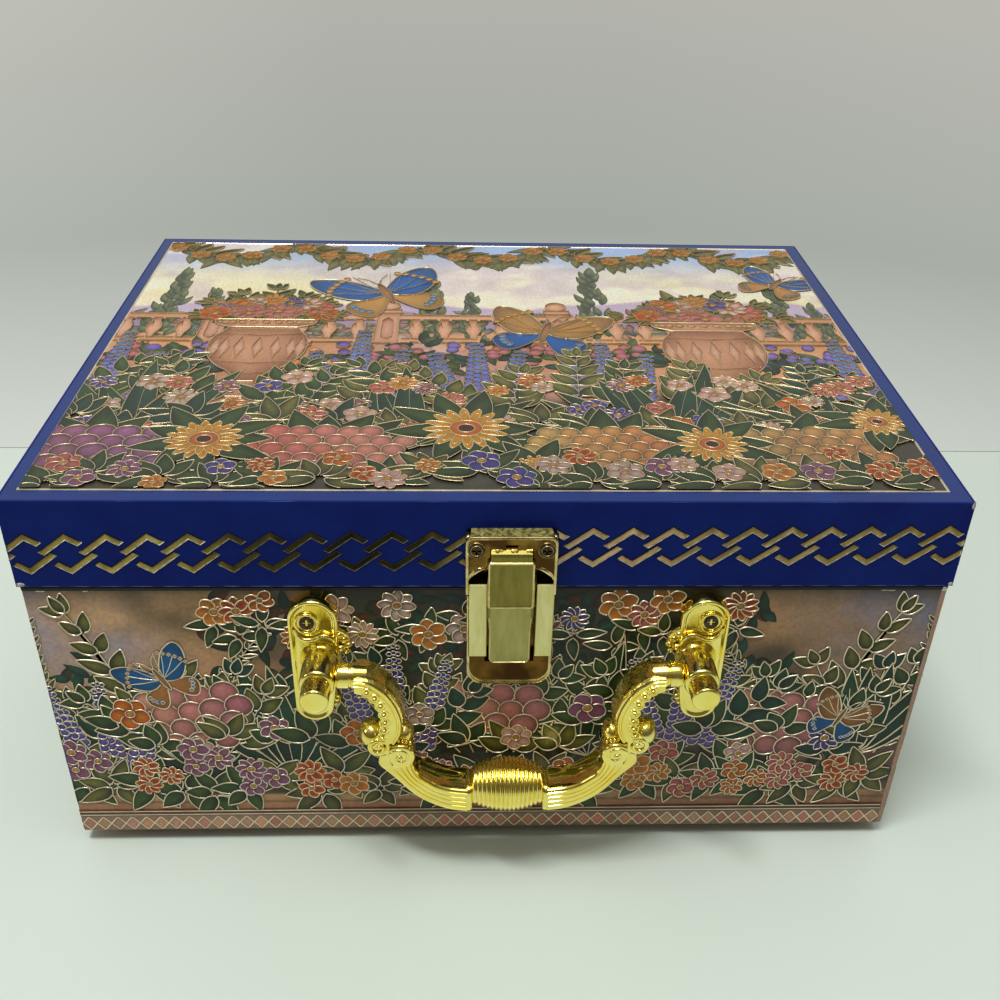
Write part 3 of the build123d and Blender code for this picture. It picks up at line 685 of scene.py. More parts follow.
    def butterfly(self, x, y, r, ang, ca, cb, body=(0.10, 0.05, 0.03)):
        """open wings, seen from above, with a beaded edge"""
        ca_, sa_ = math.cos(ang), math.sin(ang)
        tr = lambda a, b: (x + a * ca_ - b * sa_, y + a * sa_ + b * ca_)
        for sd in (-1, 1):
            low = smooth_curve([(0, -0.05 * r), (sd * 0.25 * r, -0.16 * r), (sd * 0.62 * r, -0.20 * r), (sd * 0.74 * r, -0.48 * r), (sd * 0.52 * r, -0.80 * r),
                                (sd * 0.30 * r, -0.72 * r), (sd * 0.10 * r, -0.38 * r)], 30, closed=True)
            self.shape([tr(*q) for q in low], cb, tuple(v * 0.45 for v in cb), outline=0.5, centre=tr(sd * 0.15 * r, -0.2 * r))
            upw = smooth_curve([(0, 0.05 * r), (sd * 0.16 * r, 0.36 * r), (sd * 0.50 * r, 0.74 * r), (sd * 0.92 * r, 0.86 * r), (sd * 0.98 * r, 0.55 * r),
                                (sd * 0.78 * r, 0.12 * r), (sd * 0.45 * r, -0.16 * r), (sd * 0.12 * r, -0.10 * r)], 34, closed=True)
            lines = []
            for g in (0.30, 0.62, 0.95, 1.2):
                lines.append(([tr(sd * 0.06 * r, 0.02 * r), tr(sd * 0.35 * r * math.cos(g) * 1.3, 0.40 * r * math.sin(g)), tr(sd * 0.82 * r * math.cos(g), 0.86 * r * math.sin(g))], 0.35))
            self.shape([tr(*q) for q in upw], ca, tuple(v * 0.4 for v in ca), outline=0.55, lines=lines, centre=tr(sd * 0.2 * r, 0.15 * r))
            for k in range(6):
                g = 0.25 + 0.16 * k
                self.disc(*tr(sd * r * (0.60 + 0.27 * math.cos(g * 1.2)) * math.cos(g * 0.9), 0.86 * r * math.sin(g)), 0.055 * r, (0.85, 0.55, 0.25), (0.55, 0.22, 0.08), 0.28, n=8)
            for k in range(4):
                g = 0.1 + 0.33 * k
                self.disc(*tr(sd * r * (0.28 + 0.34 * math.cos(g)), -r * (0.30 + 0.34 * math.sin(g))), 0.06 * r, (0.25, 0.45, 0.75), (0.03, 0.08, 0.30), 0.28, n=8)
        n = 16
        bod = [tr(0.07 * r * math.cos(2 * math.pi * k / n), 0.02 * r + 0.40 * r * math.sin(2 * math.pi * k / n)) for k in range(n)]
        self.shape(bod, (0.45, 0.22, 0.10), body, outline=0.45)
        for sd in (-1, 1):
            self.shape([tr(0, 0.4 * r), tr(sd * 0.08 * r, 0.55 * r), tr(sd * 0.06 * r, 0.56 * r)], body, body, outline=0,
                       lines=[([tr(sd * 0.02 * r, 0.40 * r), tr(sd * 0.10 * r, 0.60 * r), tr(sd * 0.24 * r, 0.74 * r)], 0.35)])


GREEN, GREEN_D, OLIVE, TEAL = (0.060, 0.105, 0.030), (0.010, 0.034, 0.018), (0.20, 0.19, 0.055), (0.016, 0.062, 0.046)
PEACH, MAUVE, ORANGE, RED = (0.62, 0.32, 0.14), (0.34, 0.12, 0.14), (0.70, 0.23, 0.04), (0.42, 0.05, 0.03)
VIOLET, BLUE, PINK, WHITE = (0.14, 0.09, 0.30), (0.02, 0.06, 0.32), (0.62, 0.22, 0.22), (0.70, 0.58, 0.50)
SALMON, CREAM = (0.56, 0.27, 0.17), (0.72, 0.58, 0.42)
SMALL = ((RED, ORANGE), (PINK, RED), (WHITE, PINK), (VIOLET, BLUE), (ORANGE, PEACH), (WHITE, MAUVE), (ORANGE, RED), (MAUVE, VIOLET))


def grid_panel(name, box, place, paint, step, body, slot, h=0.0, finish="print"):
    u0, u1, v0, v1 = box
    nu, nv = max(2, int((u1 - u0) / step)), max(2, int((v1 - v0) / step))
    u, v = np.meshgrid(np.linspace(u0, u1, nu + 1), np.linspace(v0, v1, nv + 1), indexing="ij")
    col = np.clip(paint(u, v), 0, 1).reshape(-1, 3)
    me = Mesh()
    vs = [place(a, b, h) for a, b in zip(u.ravel(), v.ravel())]
    fs = [(i * (nv + 1) + j, (i + 1) * (nv + 1) + j, (i + 1) * (nv + 1) + j + 1, i * (nv + 1) + j + 1) for i in range(nu) for j in range(nv)]
    me.add(vs, fs, col)
    return me.build(name, M[finish], body, slot, smooth=False)


def put(mask, colour, base):
    return base * (1 - mask[..., None]) + np.asarray(colour) * mask[..., None]


def cobbles(u, v, size, seed):
    """0 in the joints, 1 on the stones, and a random tone for each stone"""
    ju, jv = np.floor(u / size), np.floor(v / size)
    best, second, tone = np.full(u.shape, 9.0), np.full(u.shape, 9.0), np.zeros(u.shape)
    for a in (-1, 0, 1):
        for b in (-1, 0, 1):
            cu, cv = ju + a, jv + b
            h1 = np.mod(np.sin(cu * 127.1 + cv * 311.7 + seed) * 43758.5453, 1.0)
            h2 = np.mod(np.sin(cu * 269.5 + cv * 183.3 + seed) * 24634.6345, 1.0)
            d = np.hypot(u / size - cu - h1, v / size - cv - h2)
            near = d < best
            second = np.where(near, best, np.minimum(second, d))
            tone = np.where(near, h1, tone)
            best = np.where(near, d, best)
    return sst(second - best, 0.03, 0.22), tone


def paint_wall(seed, half):
    """dusky garden: warm haze and hills above, dark leaf mass in the middle, a stone ledge below"""
    def f(u, v):
        n1, n2, n3 = value_noise(u, v, 40, seed), value_noise(u, v, 13, seed + 5), value_noise(u, v, 5, seed + 2)
        t = (v - 14) / 96
        a = np.abs(u) / half
        base = lerp(np.array([0.42, 0.22, 0.15]), np.array([0.60, 0.38, 0.20]), t + 0.8 * (n1 - 0.5))
        sky = lerp(np.array([0.62, 0.40, 0.26]), np.array([0.26, 0.28, 0.42]), (n2 - 0.3) * 2)
        edge = sst(a, 0.60, 0.90) * sst(v, 62, 84)
        base = base * (1 - 0.8 * edge[..., None]) + sky * 0.8 * edge[..., None]
        hill = sst(62 + 26 * (value_noise(u, v * 0, 34, seed + 9) - 0.5) - v, 0, 3) * sst(a, 0.5, 0.7)
        base = put(hill * 0.8, (0.15, 0.105, 0.15), base)
        field = sst(46 + 12 * (n1 - 0.5) - v, 0, 6)
        base = put(field * 0.8, (0.26, 0.14, 0.085), base)
        stone, tone = cobbles(u, v * 1.5, 6.5, seed)
        pave = sst(40 - v + 14 * (n1 - 0.5), 0, 6) * sst(a, 0.60, 0.72)
        base = base * (1 - pave[..., None]) + (np.array([0.19, 0.12, 0.12]) * (0.55 + 0.75 * tone[..., None]) * (0.45 + 0.55 * stone[..., None])) * pave[..., None]
        darkc = sst(n1 + 0.60 * (1 - a ** 2) - 0.30 * np.abs(t - 0.5), 0.55, 0.82)
        base = put(darkc * 0.95, (0.012, 0.022, 0.016), base)
        ledge = sst(23 - v, 0, 0.8)
        base = base * (1 - ledge[..., None]) + lerp(np.array([0.42, 0.20, 0.13]), np.array([0.56, 0.36, 0.20]), (v - 15) / 8 + 0.5 * (n2 - 0.5)) * ledge[..., None]
        joint = np.exp(-((v - 18.6) / 0.35) ** 2) + np.exp(-((v - 22.6) / 0.4) ** 2)
        base = base * (1 - 0.5 * np.clip(joint, 0, 1))[..., None]
        # painted shade: the ground grows darker towards each wall's right end, and in a band under the lid's overhang
        side = 1.10 - 0.30 * u / half
        return base * (0.80 + 0.4 * n3)[..., None] * (0.9 + 0.25 * n2)[..., None] * side[..., None] * (1 - 0.55 * sst(v, 98, 109.5))[..., None]
    return f


def paint_top(u, v):
    """evening sky with cloud, far hills, and warm ground"""
    n1, n2, n3 = value_noise(u, v * 2.2, 60, 3), value_noise(u, v * 1.5, 24, 8), value_noise(u, v, 7, 21)
    t = sst(v, 20, 107)
    sky = lerp(np.array([1.05, 0.84, 0.42]), np.array([0.46, 0.62, 0.95]), t)
    glow = np.exp(-((v - 56) / 24.0) ** 2)
    sky = sky * (1 - 0.7 * glow[..., None]) + np.array([1.10, 0.98, 0.62]) * 0.7 * glow[..., None]
    sky = put(sst(n1, 0.52, 0.64) * 0.75, (1.10, 1.00, 0.86), sky)
    sky = put(sst(n2, 0.54, 0.70) * 0.50, (0.62, 0.52, 0.66), sky)
    for k, (h, c) in enumerate((((40, 34, 40), (0.62, 0.50, 0.66)), ((26, 26, 30), (0.40, 0.30, 0.40)), ((15, 16, 22), (0.16, 0.17, 0.13)))):
        ridge = h[0] + h[1] * (value_noise(u + 200 * k, u * 0, h[2], 31 + k) - 0.5)
        sky = put(sst(ridge - v, 0, 2.0), np.asarray(c), sky)
    g = lerp(np.array([0.80, 0.44, 0.24]), np.array([0.44, 0.22, 0.17]), (12 - v) / 90 + 1.3 * (n2 - 0.5))
    ground = sst(10 + 8 * (n1 - 0.5) - v, 0, 3)
    out = sky * (1 - ground[..., None]) + g * ground[..., None]
    stone, tone = cobbles(u, v * 1.3, 9, 12)
    path = np.exp(-((u + 26 * np.sin(v / 30) + 30) / (12 + (8 - v) * 0.34).clip(4, 44)) ** 2) * ground
    pv = lerp(np.array([0.74, 0.50, 0.42]), np.array([0.44, 0.26, 0.29]), tone) * (0.55 + 0.45 * stone[..., None])
    out = out * (1 - path[..., None]) + pv * path[..., None]
    low = sst(-38 + 20 * (n1 - 0.5) - v, 0, 14)
    out = put(low * 0.92, (0.014, 0.028, 0.018), out)
    return out * (0.86 + 0.28 * n3)[..., None]


def lattice_border(art, u0, u1, z0, z1, period):
    """lozenges on a plain strip along the foot of a wall"""
    zm, h = (z0 + z1) / 2, (z1 - z0) / 2
    n = int(round((u1 - u0) / period))
    p = (u1 - u0) / n
    art.shape([(u0, z0), (u1, z0), (u1, z1 + 0.3), (u0, z1 + 0.3)], (0.40, 0.28, 0.20), (0.36, 0.24, 0.17), outline=0)
    for i in range(n):
        c = u0 + (i + 0.5) * p
        col = art.jit((0.62, 0.32, 0.23), 0.25)
        art.shape([(c - p * 0.5, zm), (c, z0 + 0.15), (c + p * 0.5, zm), (c, z1 - 0.15)], tuple(v * 1.2 for v in col), tuple(v * 0.80 for v in col), outline=0.55)


# ------------------------------------------------------------------ printed walls
def wall_place(side):
    hx, hy = 141.6, 111.6
    if side == "front":
        return lambda u, v, h: (u - 0.75, -hy - h, v)
    if side == "back":
        return lambda u, v, h: (-u, hy + h, v)
    if side == "left":
        return lambda u, v, h: (-hx - h, -u, v)
    return lambda u, v, h: (hx + h, u, v)


def plant_wall(art, half, seed):
    """generic flower border, back to front"""
    r = art.r
    up = math.pi / 2
    for k in range(int(half / 7)):
        u = -half + 6 + k * 14.4 + r.uniform(-4, 4)
        art.haze(u, r.uniform(48, 68), 13, 15 + 14 * (1 - abs(u) / half), 26, 7.5, (GREEN_D, GREEN, TEAL, (0.05, 0.04, 0.02)))
        if abs(u) < 0.62 * half:
            art.haze(u, 94, 10, 13, 20, 7.5, (GREEN_D, GREEN_D, TEAL, (0.10, 0.03, 0.02)))
    # sprays reaching up into the haze at both ends
    for sd in (-1, 1):
        for j, (du, z, an, ln) in enumerate(((8, 40, 0.42, 58), (30, 44, 0.10, 60), (46, 46, -0.22, 56))):
            u = sd * (half - du)
            if j == 1:
                art.sprig(u, z, up - sd * an, ln, 7, 14, OLIVE, GREEN_D, bend=-sd * 0.4, w=0.5, ratio=0.5)
            else:
                art.sprig(u, z, up - sd * an, ln, 15, 7.5, (0.16, 0.17, 0.07), GREEN_D, bend=sd * 0.5, w=0.42, ratio=0.34)
    # flowers under the rim in the dark middle
    for k in range(int(half / 7.5)):
        u = -half * 0.62 + k * 0.62 * 2 * half / int(half / 7.5) + r.uniform(-3, 3)
        c = r.choice(SMALL)
        art.rosette(u, r.uniform(86, 100), 9, 4, GREEN, GREEN_D, w=0.42)
        art.blossom(u, r.uniform(90, 106), r.uniform(4.5, 6.5), r.choice([6, 8, 11]), c[0], c[1])
    m = int(2 * half / 31)
    order = list(range(m))
    r.shuffle(order)
    for k in order:
        u = -half + (k + 0.5) * 2 * half / m + r.uniform(-3, 3)
        kind = (k * 2 + seed) % 6
        z = r.uniform(54, 66)
        for j in range(5):
            art.sprig(u + (j - 2) * 4.5, z - 20, up + (2 - j) * 0.34, r.uniform(28, 38), 4, r.uniform(12, 14.5), r.choice([GREEN, GREEN, OLIVE, TEAL]), GREEN_D,
                      bend=r.uniform(-0.3, 0.3), w=0.5, ratio=0.58)
        if kind == 0:
            art.daisy(u, z + 10, 12.5, 16)
        elif kind in (1, 4):
            art.rosette(u, z - 6, 19, 7, GREEN, GREEN_D, spread=(-0.5, math.pi + 0.5))
            art.cluster(u, z - 2, 17, 15, 4.5, (0.46, 0.20, 0.14), MAUVE, ang=r.uniform(-0.5, 0.5))
        elif kind == 2:
            art.cluster(u, z + 4, 15, 21, 2.6, (0.66, 0.46, 0.10), (0.50, 0.10, 0.03), ang=r.uniform(0.3, 1.1), w=0.4)
        elif kind == 3:
            art.blades(u, z - 26, 7, 50, 9.5, TEAL, GREEN_D, up + 0.85, up - 0.85)
        else:
            for j in range(3):
                art.spike(u + (j - 1) * 8, z - 18, up - (j - 1) * 0.25, r.uniform(36, 46), 3.1, VIOLET, BLUE)
    for k in range(int(half / 6.5)):
        u = -half + 5 + k * 13.1 + r.uniform(-3, 3)
        z = r.uniform(34, 58)
        art.rosette(u, z, r.uniform(10, 13), 4, r.choice([GREEN, OLIVE, GREEN, TEAL]), GREEN_D, spread=(0.3, math.pi - 0.3), ratio=0.55)
        if k % 2:
            c = r.choice(SMALL)
            art.blossom(u + r.uniform(-4, 4), z + 6, r.uniform(4.8, 6.8), r.choice([5, 6, 9]), c[0], c[1])
    # low leaves that hang over the ledge, with small flowers
    for k in range(int(half / 5.6)):
        u = -half + 4 + k * 11.2 + r.uniform(-2.5, 2.5)
        z = 19 + r.uniform(2, 13)
        art.rosette(u, z, r.uniform(10, 13.5), 6, r.choice([GREEN, GREEN, OLIVE, (0.16, 0.13, 0.05)]), GREEN_D, spread=(-0.9, math.pi + 0.9), ratio=0.5)
    for k in range(int(half / 9)):
        u = -half + 7 + k * 18.5 + r.uniform(-4, 4)
        z = r.uniform(20, 36)
        c = r.choice(SMALL)
        for j in range(r.choice([1, 2, 3])):
            art.blossom(u + (j % 2) * 8 - 3, z + j * 4, r.uniform(4.2, 5.8), r.choice([5, 6, 8]), c[0], c[1])
    if half > 130:
        art.butterfly(-104, 74, 13, 0.5, (0.03, 0.16, 0.42), (0.55, 0.25, 0.10))
        art.butterfly(118, 56, 12, -0.4, (0.50, 0.24, 0.10), (0.03, 0.14, 0.38))
    else:
        art.butterfly(half * 0.7, 78, 13, -0.3, (0.03, 0.16, 0.42), (0.55, 0.25, 0.10))


def wall(side, half, seed):
    place = wall_place(side)
    grid_panel("case_%s_ground" % side, (-half, half, 5.6, 110.2), place, paint_wall(seed, half), 1.0, "case", "printed_paper", h=0.012)
    # painted shade: the printed shapes are darkened in a band under the lid and towards the wall's right end
    art = Art((-half, half, 5.6, 110.1), seed, shade=lambda u, z: (1 - 0.60 * sst(z, 99, 110)) * (1.03 - 0.17 * u / half))
    plant_wall(art, half, seed)
    # painted shadow: a near-black strip along the top of each wall stands in for the shadow line under the lid
    art.shape([(-half, 109.1), (half, 109.1), (half, 110.1), (-half, 110.1)], (0.012, 0.010, 0.010), (0.012, 0.010, 0.010), outline=0)
    # strip along the foot: earth line, two thin lines, lozenges
    art.shape([(-half, 12.3), (half, 12.3), (half, 15.2), (-half, 15.2)], (0.17, 0.085, 0.055), (0.15, 0.075, 0.05), outline=0,
              lines=[(np.array([(-half + 0.2, 14.6), (half - 0.2, 14.6)]), 0.45), (np.array([(-half + 0.2, 13.0), (half - 0.2, 13.0)]), 0.45)])
    lattice_border(art, -half + 0.1, half - 0.1, 5.7, 12.2, 4.9)
    art.build(place, "case_" + side, "case", "printed_paper", dh=0.00014, chunks=2 if half > 130 else 1)


wall("front", 140.75, 11)
wall("back", 141.4, 23)
wall("left", 111.3, 35)
wall("right", 111.3, 47)

# fold of the side paper that shows at the front's right edge
fold = Mesh()
zz = np.linspace(5.7, 110.0, 60)
jag = [1.5 + 0.25 * (value_noise(z, 3.0, 9, 71) - 0.5) for z in zz]
for sx in (1,):
    vs, cs = [], []
    for z, j in zip(zz, jag):
        for u, k in ((141.55, 0.02), (141.5, 0.14), (141.6 - j, 0.14), (141.6 - j - 0.1, 0.02)):
            vs.append((sx * u, FRONT - k, z))
            n = value_noise(z, 1.0, 6, 5)
            cs.append(lerp(np.array([0.60, 0.32, 0.20]), np.array([0.50, 0.40, 0.34]), float(n)))
    fs = [(4 * i + k, 4 * i + k + 4, 4 * i + k + 5, 4 * i + k + 1) for i in range(len(zz) - 1) for k in range(3)]
    fold.add(vs, fs, np.array(cs))
fold.build("case_front_paper_fold", M["print"], "case", "printed_paper", smooth=False)


# ------------------------------------------------------------------ printed lid panel
U0, U1, V0, V1 = -138.2, 137.0, -106.3, 107.7
top_place = lambda u, v, h: (u, v, 141.0 + h)
grid_panel("lid_top_ground", (U0, U1, V0, V1), top_place, paint_top, 1.3, "lid", "printed_paper", h=0.012, finish="lidprint")
T = Art((U0 + 0.5, U1 - 0.5, V0 + 0.5, V1 - 0.5), 5, foil_w=0.70, finish=("lidprint", "lidfoil"), shade=lambda u, v: 0.60 + 0.42 * sst(v, -95, 5))
r = T.r
UP = math.pi / 2
FAR = ((0.20, 0.20, 0.12), (0.26, 0.20, 0.14), (0.13, 0.16, 0.15), (0.34, 0.18, 0.16))


def cypress(u, v, h, w):
    for k in range(46):
        t = (k / 46) ** 0.8
        ww = w * math.sin(math.pi * min(1, 0.15 + 0.85 * (1 - t))) ** 0.7 if t > 0.5 else w * (0.75 + 0.3 * t)
        x = u + r.uniform(-1, 1) * ww * (1 - t * 0.75)
        T.leaf(x, v + h * t, UP + (u - x) * 0.05 + r.uniform(-0.25, 0.25), h * 0.16, h * 0.055, (0.20, 0.22, 0.11), (0.07, 0.10, 0.07), w=0)


def urn(u, v0, h, w, seed):
    """terracotta garden urn on a low block"""
    T.shape([(u - w * 0.55, v0 - h * 0.22), (u + w * 0.55, v0 - h * 0.22), (u + w * 0.5, v0), (u - w * 0.5, v0)], (0.62, 0.34, 0.22), (0.30, 0.13, 0.09), outline=0.6)
    parts = ([(0.36, 0.0), (0.36, 0.05), (0.20, 0.10), (0.14, 0.19)], [(0.13, 0.18), (0.20, 0.28), (0.42, 0.38), (0.57, 0.52), (0.60, 0.66), (0.55, 0.78), (0.44, 0.86), (0.42, 0.90)],
             [(0.42, 0.89), (0.62, 0.94), (0.64, 1.0)])
    for k, prof in enumerate(parts):
        q = smooth_curve([(a * w, v0 + b * h) for a, b in prof], 12)
        poly = [(u + a, b) for a, b in q] + [(u - a, b) for a, b in q[::-1]]
        z = sum(b for a, b in prof) / len(prof)
        T.shape(poly, (0.70, 0.38, 0.24), (0.28, 0.11, 0.07), outline=0.6, centre=(u - w * 0.12, v0 + h * z))
        if k == 1:
            body = T.shapes[-1]
    for z, ww in ((0.43, 0.44), (0.80, 0.49), (0.30, 0.20)):
        body["lines"].append(([(u - w * ww, v0 + h * z), (u, v0 + h * (z - 0.03)), (u + w * ww, v0 + h * z)], 0.42))
    for k in range(-3, 4):
        x = u + w * 0.54 * math.sin(k * 0.42)
        T.shape([(x, v0 + h * 0.47), (x + w * 0.07, v0 + h * 0.61), (x, v0 + h * 0.76), (x - w * 0.07, v0 + h * 0.61)], (0.74, 0.46, 0.32), (0.40, 0.17, 0.11), outline=0.4)
    for k in range(-5, 6):
        T.disc(u + w * 0.58 * math.sin(k * 0.27), v0 + h * 0.965, w * 0.055, (0.74, 0.44, 0.30), (0.42, 0.18, 0.12), 0.3, n=8)


# far trees and hedges, without foil
for k in range(26):
    T.haze(-132 + k * 10.8 + r.uniform(-4, 4), 14 + r.uniform(-6, 10), 10, 7, 16, 7, FAR)
for u, v, h, w in ((-124, 2, 66, 7), (-108, 0, 48, 6), (-22, 4, 60, 7), (-6, 2, 44, 6), (44, 4, 68, 7.5), (118, 0, 58, 7), (131, -4, 42, 6)):
    cypress(u, v, h, w)
# low terracotta balustrade in the distance
for v0, v1 in ((0.0, 3.2), (21.0, 25.5)):
    T.shape([(-150, v0), (-75, v0), (0, v0), (75, v0), (150, v0), (150, v1), (75, v1), (0, v1), (-75, v1), (-150, v1)], (0.82, 0.47, 0.32), (0.66, 0.34, 0.22), outline=0.5)
for k in range(26):
    u = -136 + k * 10.9
    wide = k % 6 == 3
    if wide:
        T.shape([(u - 4.6, -1), (u + 4.6, -1), (u + 4.2, 28), (u - 4.2, 28)], (0.84, 0.50, 0.34), (0.52, 0.26, 0.18), outline=0.5)
        T.shape([(u - 5.6, 27.5), (u + 5.6, 27.5), (u + 5.0, 31), (u - 5.0, 31)], (0.84, 0.50, 0.34), (0.56, 0.29, 0.20), outline=0.5)
        T.disc(u, 35.0, 4.2, (0.86, 0.52, 0.36), (0.46, 0.22, 0.15), 0.45, n=14)
        T.shape([(u - 2.2, 5), (u, 3), (u + 2.2, 5), (u + 2.2, 20), (u, 23), (u - 2.2, 20)], (0.70, 0.40, 0.28), (0.46, 0.22, 0.16), outline=0.35)
    else:
        prof = ((1.1, 3.0), (1.3, 6.0), (2.9, 11.0), (2.6, 14.5), (1.2, 18.5), (1.9, 21.2))
        T.shape([(u + a, b) for a, b in prof] + [(u - a, b) for a, b in reversed(prof)], (0.84, 0.50, 0.34), (0.50, 0.24, 0.16), outline=0.38, centre=(u - 0.5, 11.5))
# garland of leaves along the upper edge
for k in range(5):
    a, b = -139 + k * 55.4, -139 + (k + 1) * 55.4
    for i in range(19):
        t = (i + 0.5) / 19
        u, v = a + (b - a) * t, 106 - 17 * math.sin(math.pi * t) + r.uniform(-2, 2)
        for j in range(3):
            T.leaf(u, v, UP * (-1 + 0.5 * j) + math.cos(math.pi * t) * 0.7 + r.uniform(-0.6, 0.6), r.uniform(11, 15), 5.2, (0.22, 0.20, 0.07), (0.06, 0.07, 0.03), w=0.38 if j == 2 else 0)
    for i in range(5):
        t = (i + 0.5) / 5
        T.blossom(a + (b - a) * t, 105 - 17 * math.sin(math.pi * t), 4.6, 6, PEACH, ORANGE, w=0.38)
# hedge of small flowers in the middle distance
for k in range(18):
    u = -130 + k * 15.4 + r.uniform(-4, 4)
    T.haze(u, -14 + r.uniform(-6, 6), 11, 9, 15, 9, (GREEN, TEAL, GREEN_D))
    c = r.choice([VIOLET, MAUVE, (0.45, 0.10, 0.06), (0.16, 0.12, 0.34), (0.55, 0.22, 0.08)])
    for j in range(7):
        T.disc(u + r.uniform(-9, 9), -10 + r.uniform(-8, 8), r.uniform(2.0, 3.0), tuple(min(1, x * 1.8 + 0.03) for x in c), tuple(x * 0.6 for x in c), 0.3 if j % 2 else 0, n=9)
for u, v, h, w in ((-84, -46, 66, 30), (84, -50, 70, 32)):
    T.haze(u, v + h + 12, 20, 14, 30, 11, (GREEN, OLIVE, GREEN_D))
    for j in range(7):
        T.sprig(u, v + h - 2, UP + (j - 3) * 0.36, r.uniform(24, 34), 4, 12, r.choice([GREEN, OLIVE]), GREEN_D, bend=(j - 3) * 0.12, w=0.42)
    for j in range(9):
        g = math.pi * (j + 0.5) / 9
        c = SMALL[j % len(SMALL)]
        T.blossom(u + 21 * math.cos(g), v + h + 4 + 16 * math.sin(g) * r.uniform(0.7, 1.1), r.uniform(5.5, 7.5), r.choice([6, 8, 11]), c[0], c[1])
    for j in range(6):
        T.blossom(u + r.uniform(-13, 13), v + h + r.uniform(0, 10), r.uniform(5, 7), r.choice([5, 8]), PINK, MAUVE)
    urn(u, v, h, w, 1)
T.butterfly(-40, 48, 27, 0.35, (0.03, 0.15, 0.50), (0.62, 0.34, 0.12))
T.butterfly(22, 10, 24, -0.25, (0.56, 0.30, 0.12), (0.02, 0.12, 0.42))
T.butterfly(122, 62, 18, -0.55, (0.03, 0.15, 0.50), (0.60, 0.30, 0.12))
for u in (-132, -46, -4, 42, 130):
    for j in (-1, 0, 1):
        T.spike(u + j * 9, -44 + r.uniform(-5, 5), UP - j * 0.18, r.uniform(44, 60) - abs(j) * 12, 3.8, (0.16, 0.14, 0.40), (0.05, 0.14, 0.42))
for k in range(16):
    u = -132 + k * 17.6 + r.uniform(-4, 4)
    T.sprig(u, -56 + r.uniform(-6, 6), UP + r.uniform(-0.6, 0.6), r.uniform(30, 42), 5, r.uniform(15, 18), r.choice([GREEN, OLIVE, TEAL]), GREEN_D, bend=r.uniform(-0.8, 0.8), w=0.5, ratio=0.45)
for u in (-112, -28, 58, 112):
    T.blades(u, -80, 8, r.uniform(50, 62), 11, TEAL, GREEN_D, UP + 1.05, UP - 1.05)
for k in range(34):
    u = -132 + k * 8 + r.uniform(-3, 3)
    c = r.choice(SMALL)
    T.blossom(u, -42 + r.uniform(-13, 12), r.uniform(4.2, 6.4), r.choice([5, 6, 8, 11]), c[0], c[1])
for k in range(17):
    u = -132 + k * 16.6 + r.uniform(-3, 3)
    T.rosette(u, -66 + r.uniform(-7, 7), r.uniform(13, 17), 7, r.choice([GREEN, OLIVE, TEAL]), GREEN_D, spread=(-0.2, math.pi + 0.2), ratio=0.42, tip=1.25)
for k in range(16):
    c = r.choice(SMALL)
    T.blossom(-128 + k * 17 + r.uniform(-5, 5), -66 + r.uniform(-8, 8), r.uniform(4.5, 6.0), r.choice([5, 8, 11]), c[0], c[1])
for u, c1, c2, rb in ((-124, (0.24, 0.08, 0.12), (0.20, 0.08, 0.18), 4.4), (-52, (0.46, 0.11, 0.10), (0.50, 0.22, 0.17), 4.0), (36, (0.42, 0.27, 0.09), (0.44, 0.15, 0.07), 3.7), (100, (0.30, 0.20, 0.08), (0.44, 0.20, 0.08), 3.9)):
    T.rosette(u, -84, 26, 9, GREEN, GREEN_D, spread=(-0.3, math.pi + 0.3), tip=1.25)
    T.cluster(u, -82, 27, 17, rb, c1, c2, ang=r.uniform(-0.2, 0.2))
for u, v, rr in ((-90, -76, 12.5), (-8, -68, 14), (70, -78, 11.5), (128, -62, 9.5), (14, -94, 8.5)):
    T.rosette(u, v, rr + 9, 9, GREEN, GREEN_D, tip=1.25)
    T.daisy(u, v, rr, 16, inner=(0.66, 0.24, 0.06), outer=(0.74, 0.42, 0.10))
for k in range(17):
    u = -133 + k * 16.6 + r.uniform(-3, 3)
    T.rosette(u, -100 + r.uniform(-4, 6), r.uniform(12, 15), 7, r.choice([GREEN, GREEN, OLIVE]), GREEN_D, spread=(-0.3, math.pi + 0.3), ratio=0.42, tip=1.25)
for k in range(24):
    u = -130 + k * 11.3 + r.uniform(-4, 4)
    c = r.choice(SMALL)
    T.blossom(u, -93 + r.uniform(-10, 10), r.uniform(4.2, 6.4), r.choice([5, 6, 8]), c[0], c[1])
T.build(top_place, "lid_top", "lid", "printed_paper", dh=0.00016, step=1.1, foil_h=0.08, chunks=4)

# thin gold line round the printed panel
edge = Mesh()
for a, b in (((U0, V0), (U1, V0)), ((U1, V0), (U1, V1)), ((U1, V1), (U0, V1)), ((U0, V1), (U0, V0))):
    d = np.array(b) - np.array(a)
    d = d / np.linalg.norm(d)
    n = np.array([-d[1], d[0]])
    a2, b2 = np.array(a), np.array(b)
    vs, fs = [], []
    for q in (a2, b2):
        for o, h in ((0.0, 0.0), (0.12, 0.16), (0.62, 0.16), (0.78, 0.0)):
            p = q + n * o + (d * o if q is a2 else -d * o)
            vs.append((p[0], p[1], 141.0 + h))
    edge.add(vs, [(k, k + 1, k + 5, k + 4) for k in range(3)])
edge.build("lid_panel_gold_edge", M["foil"], "lid", "printed_paper", smooth=False)


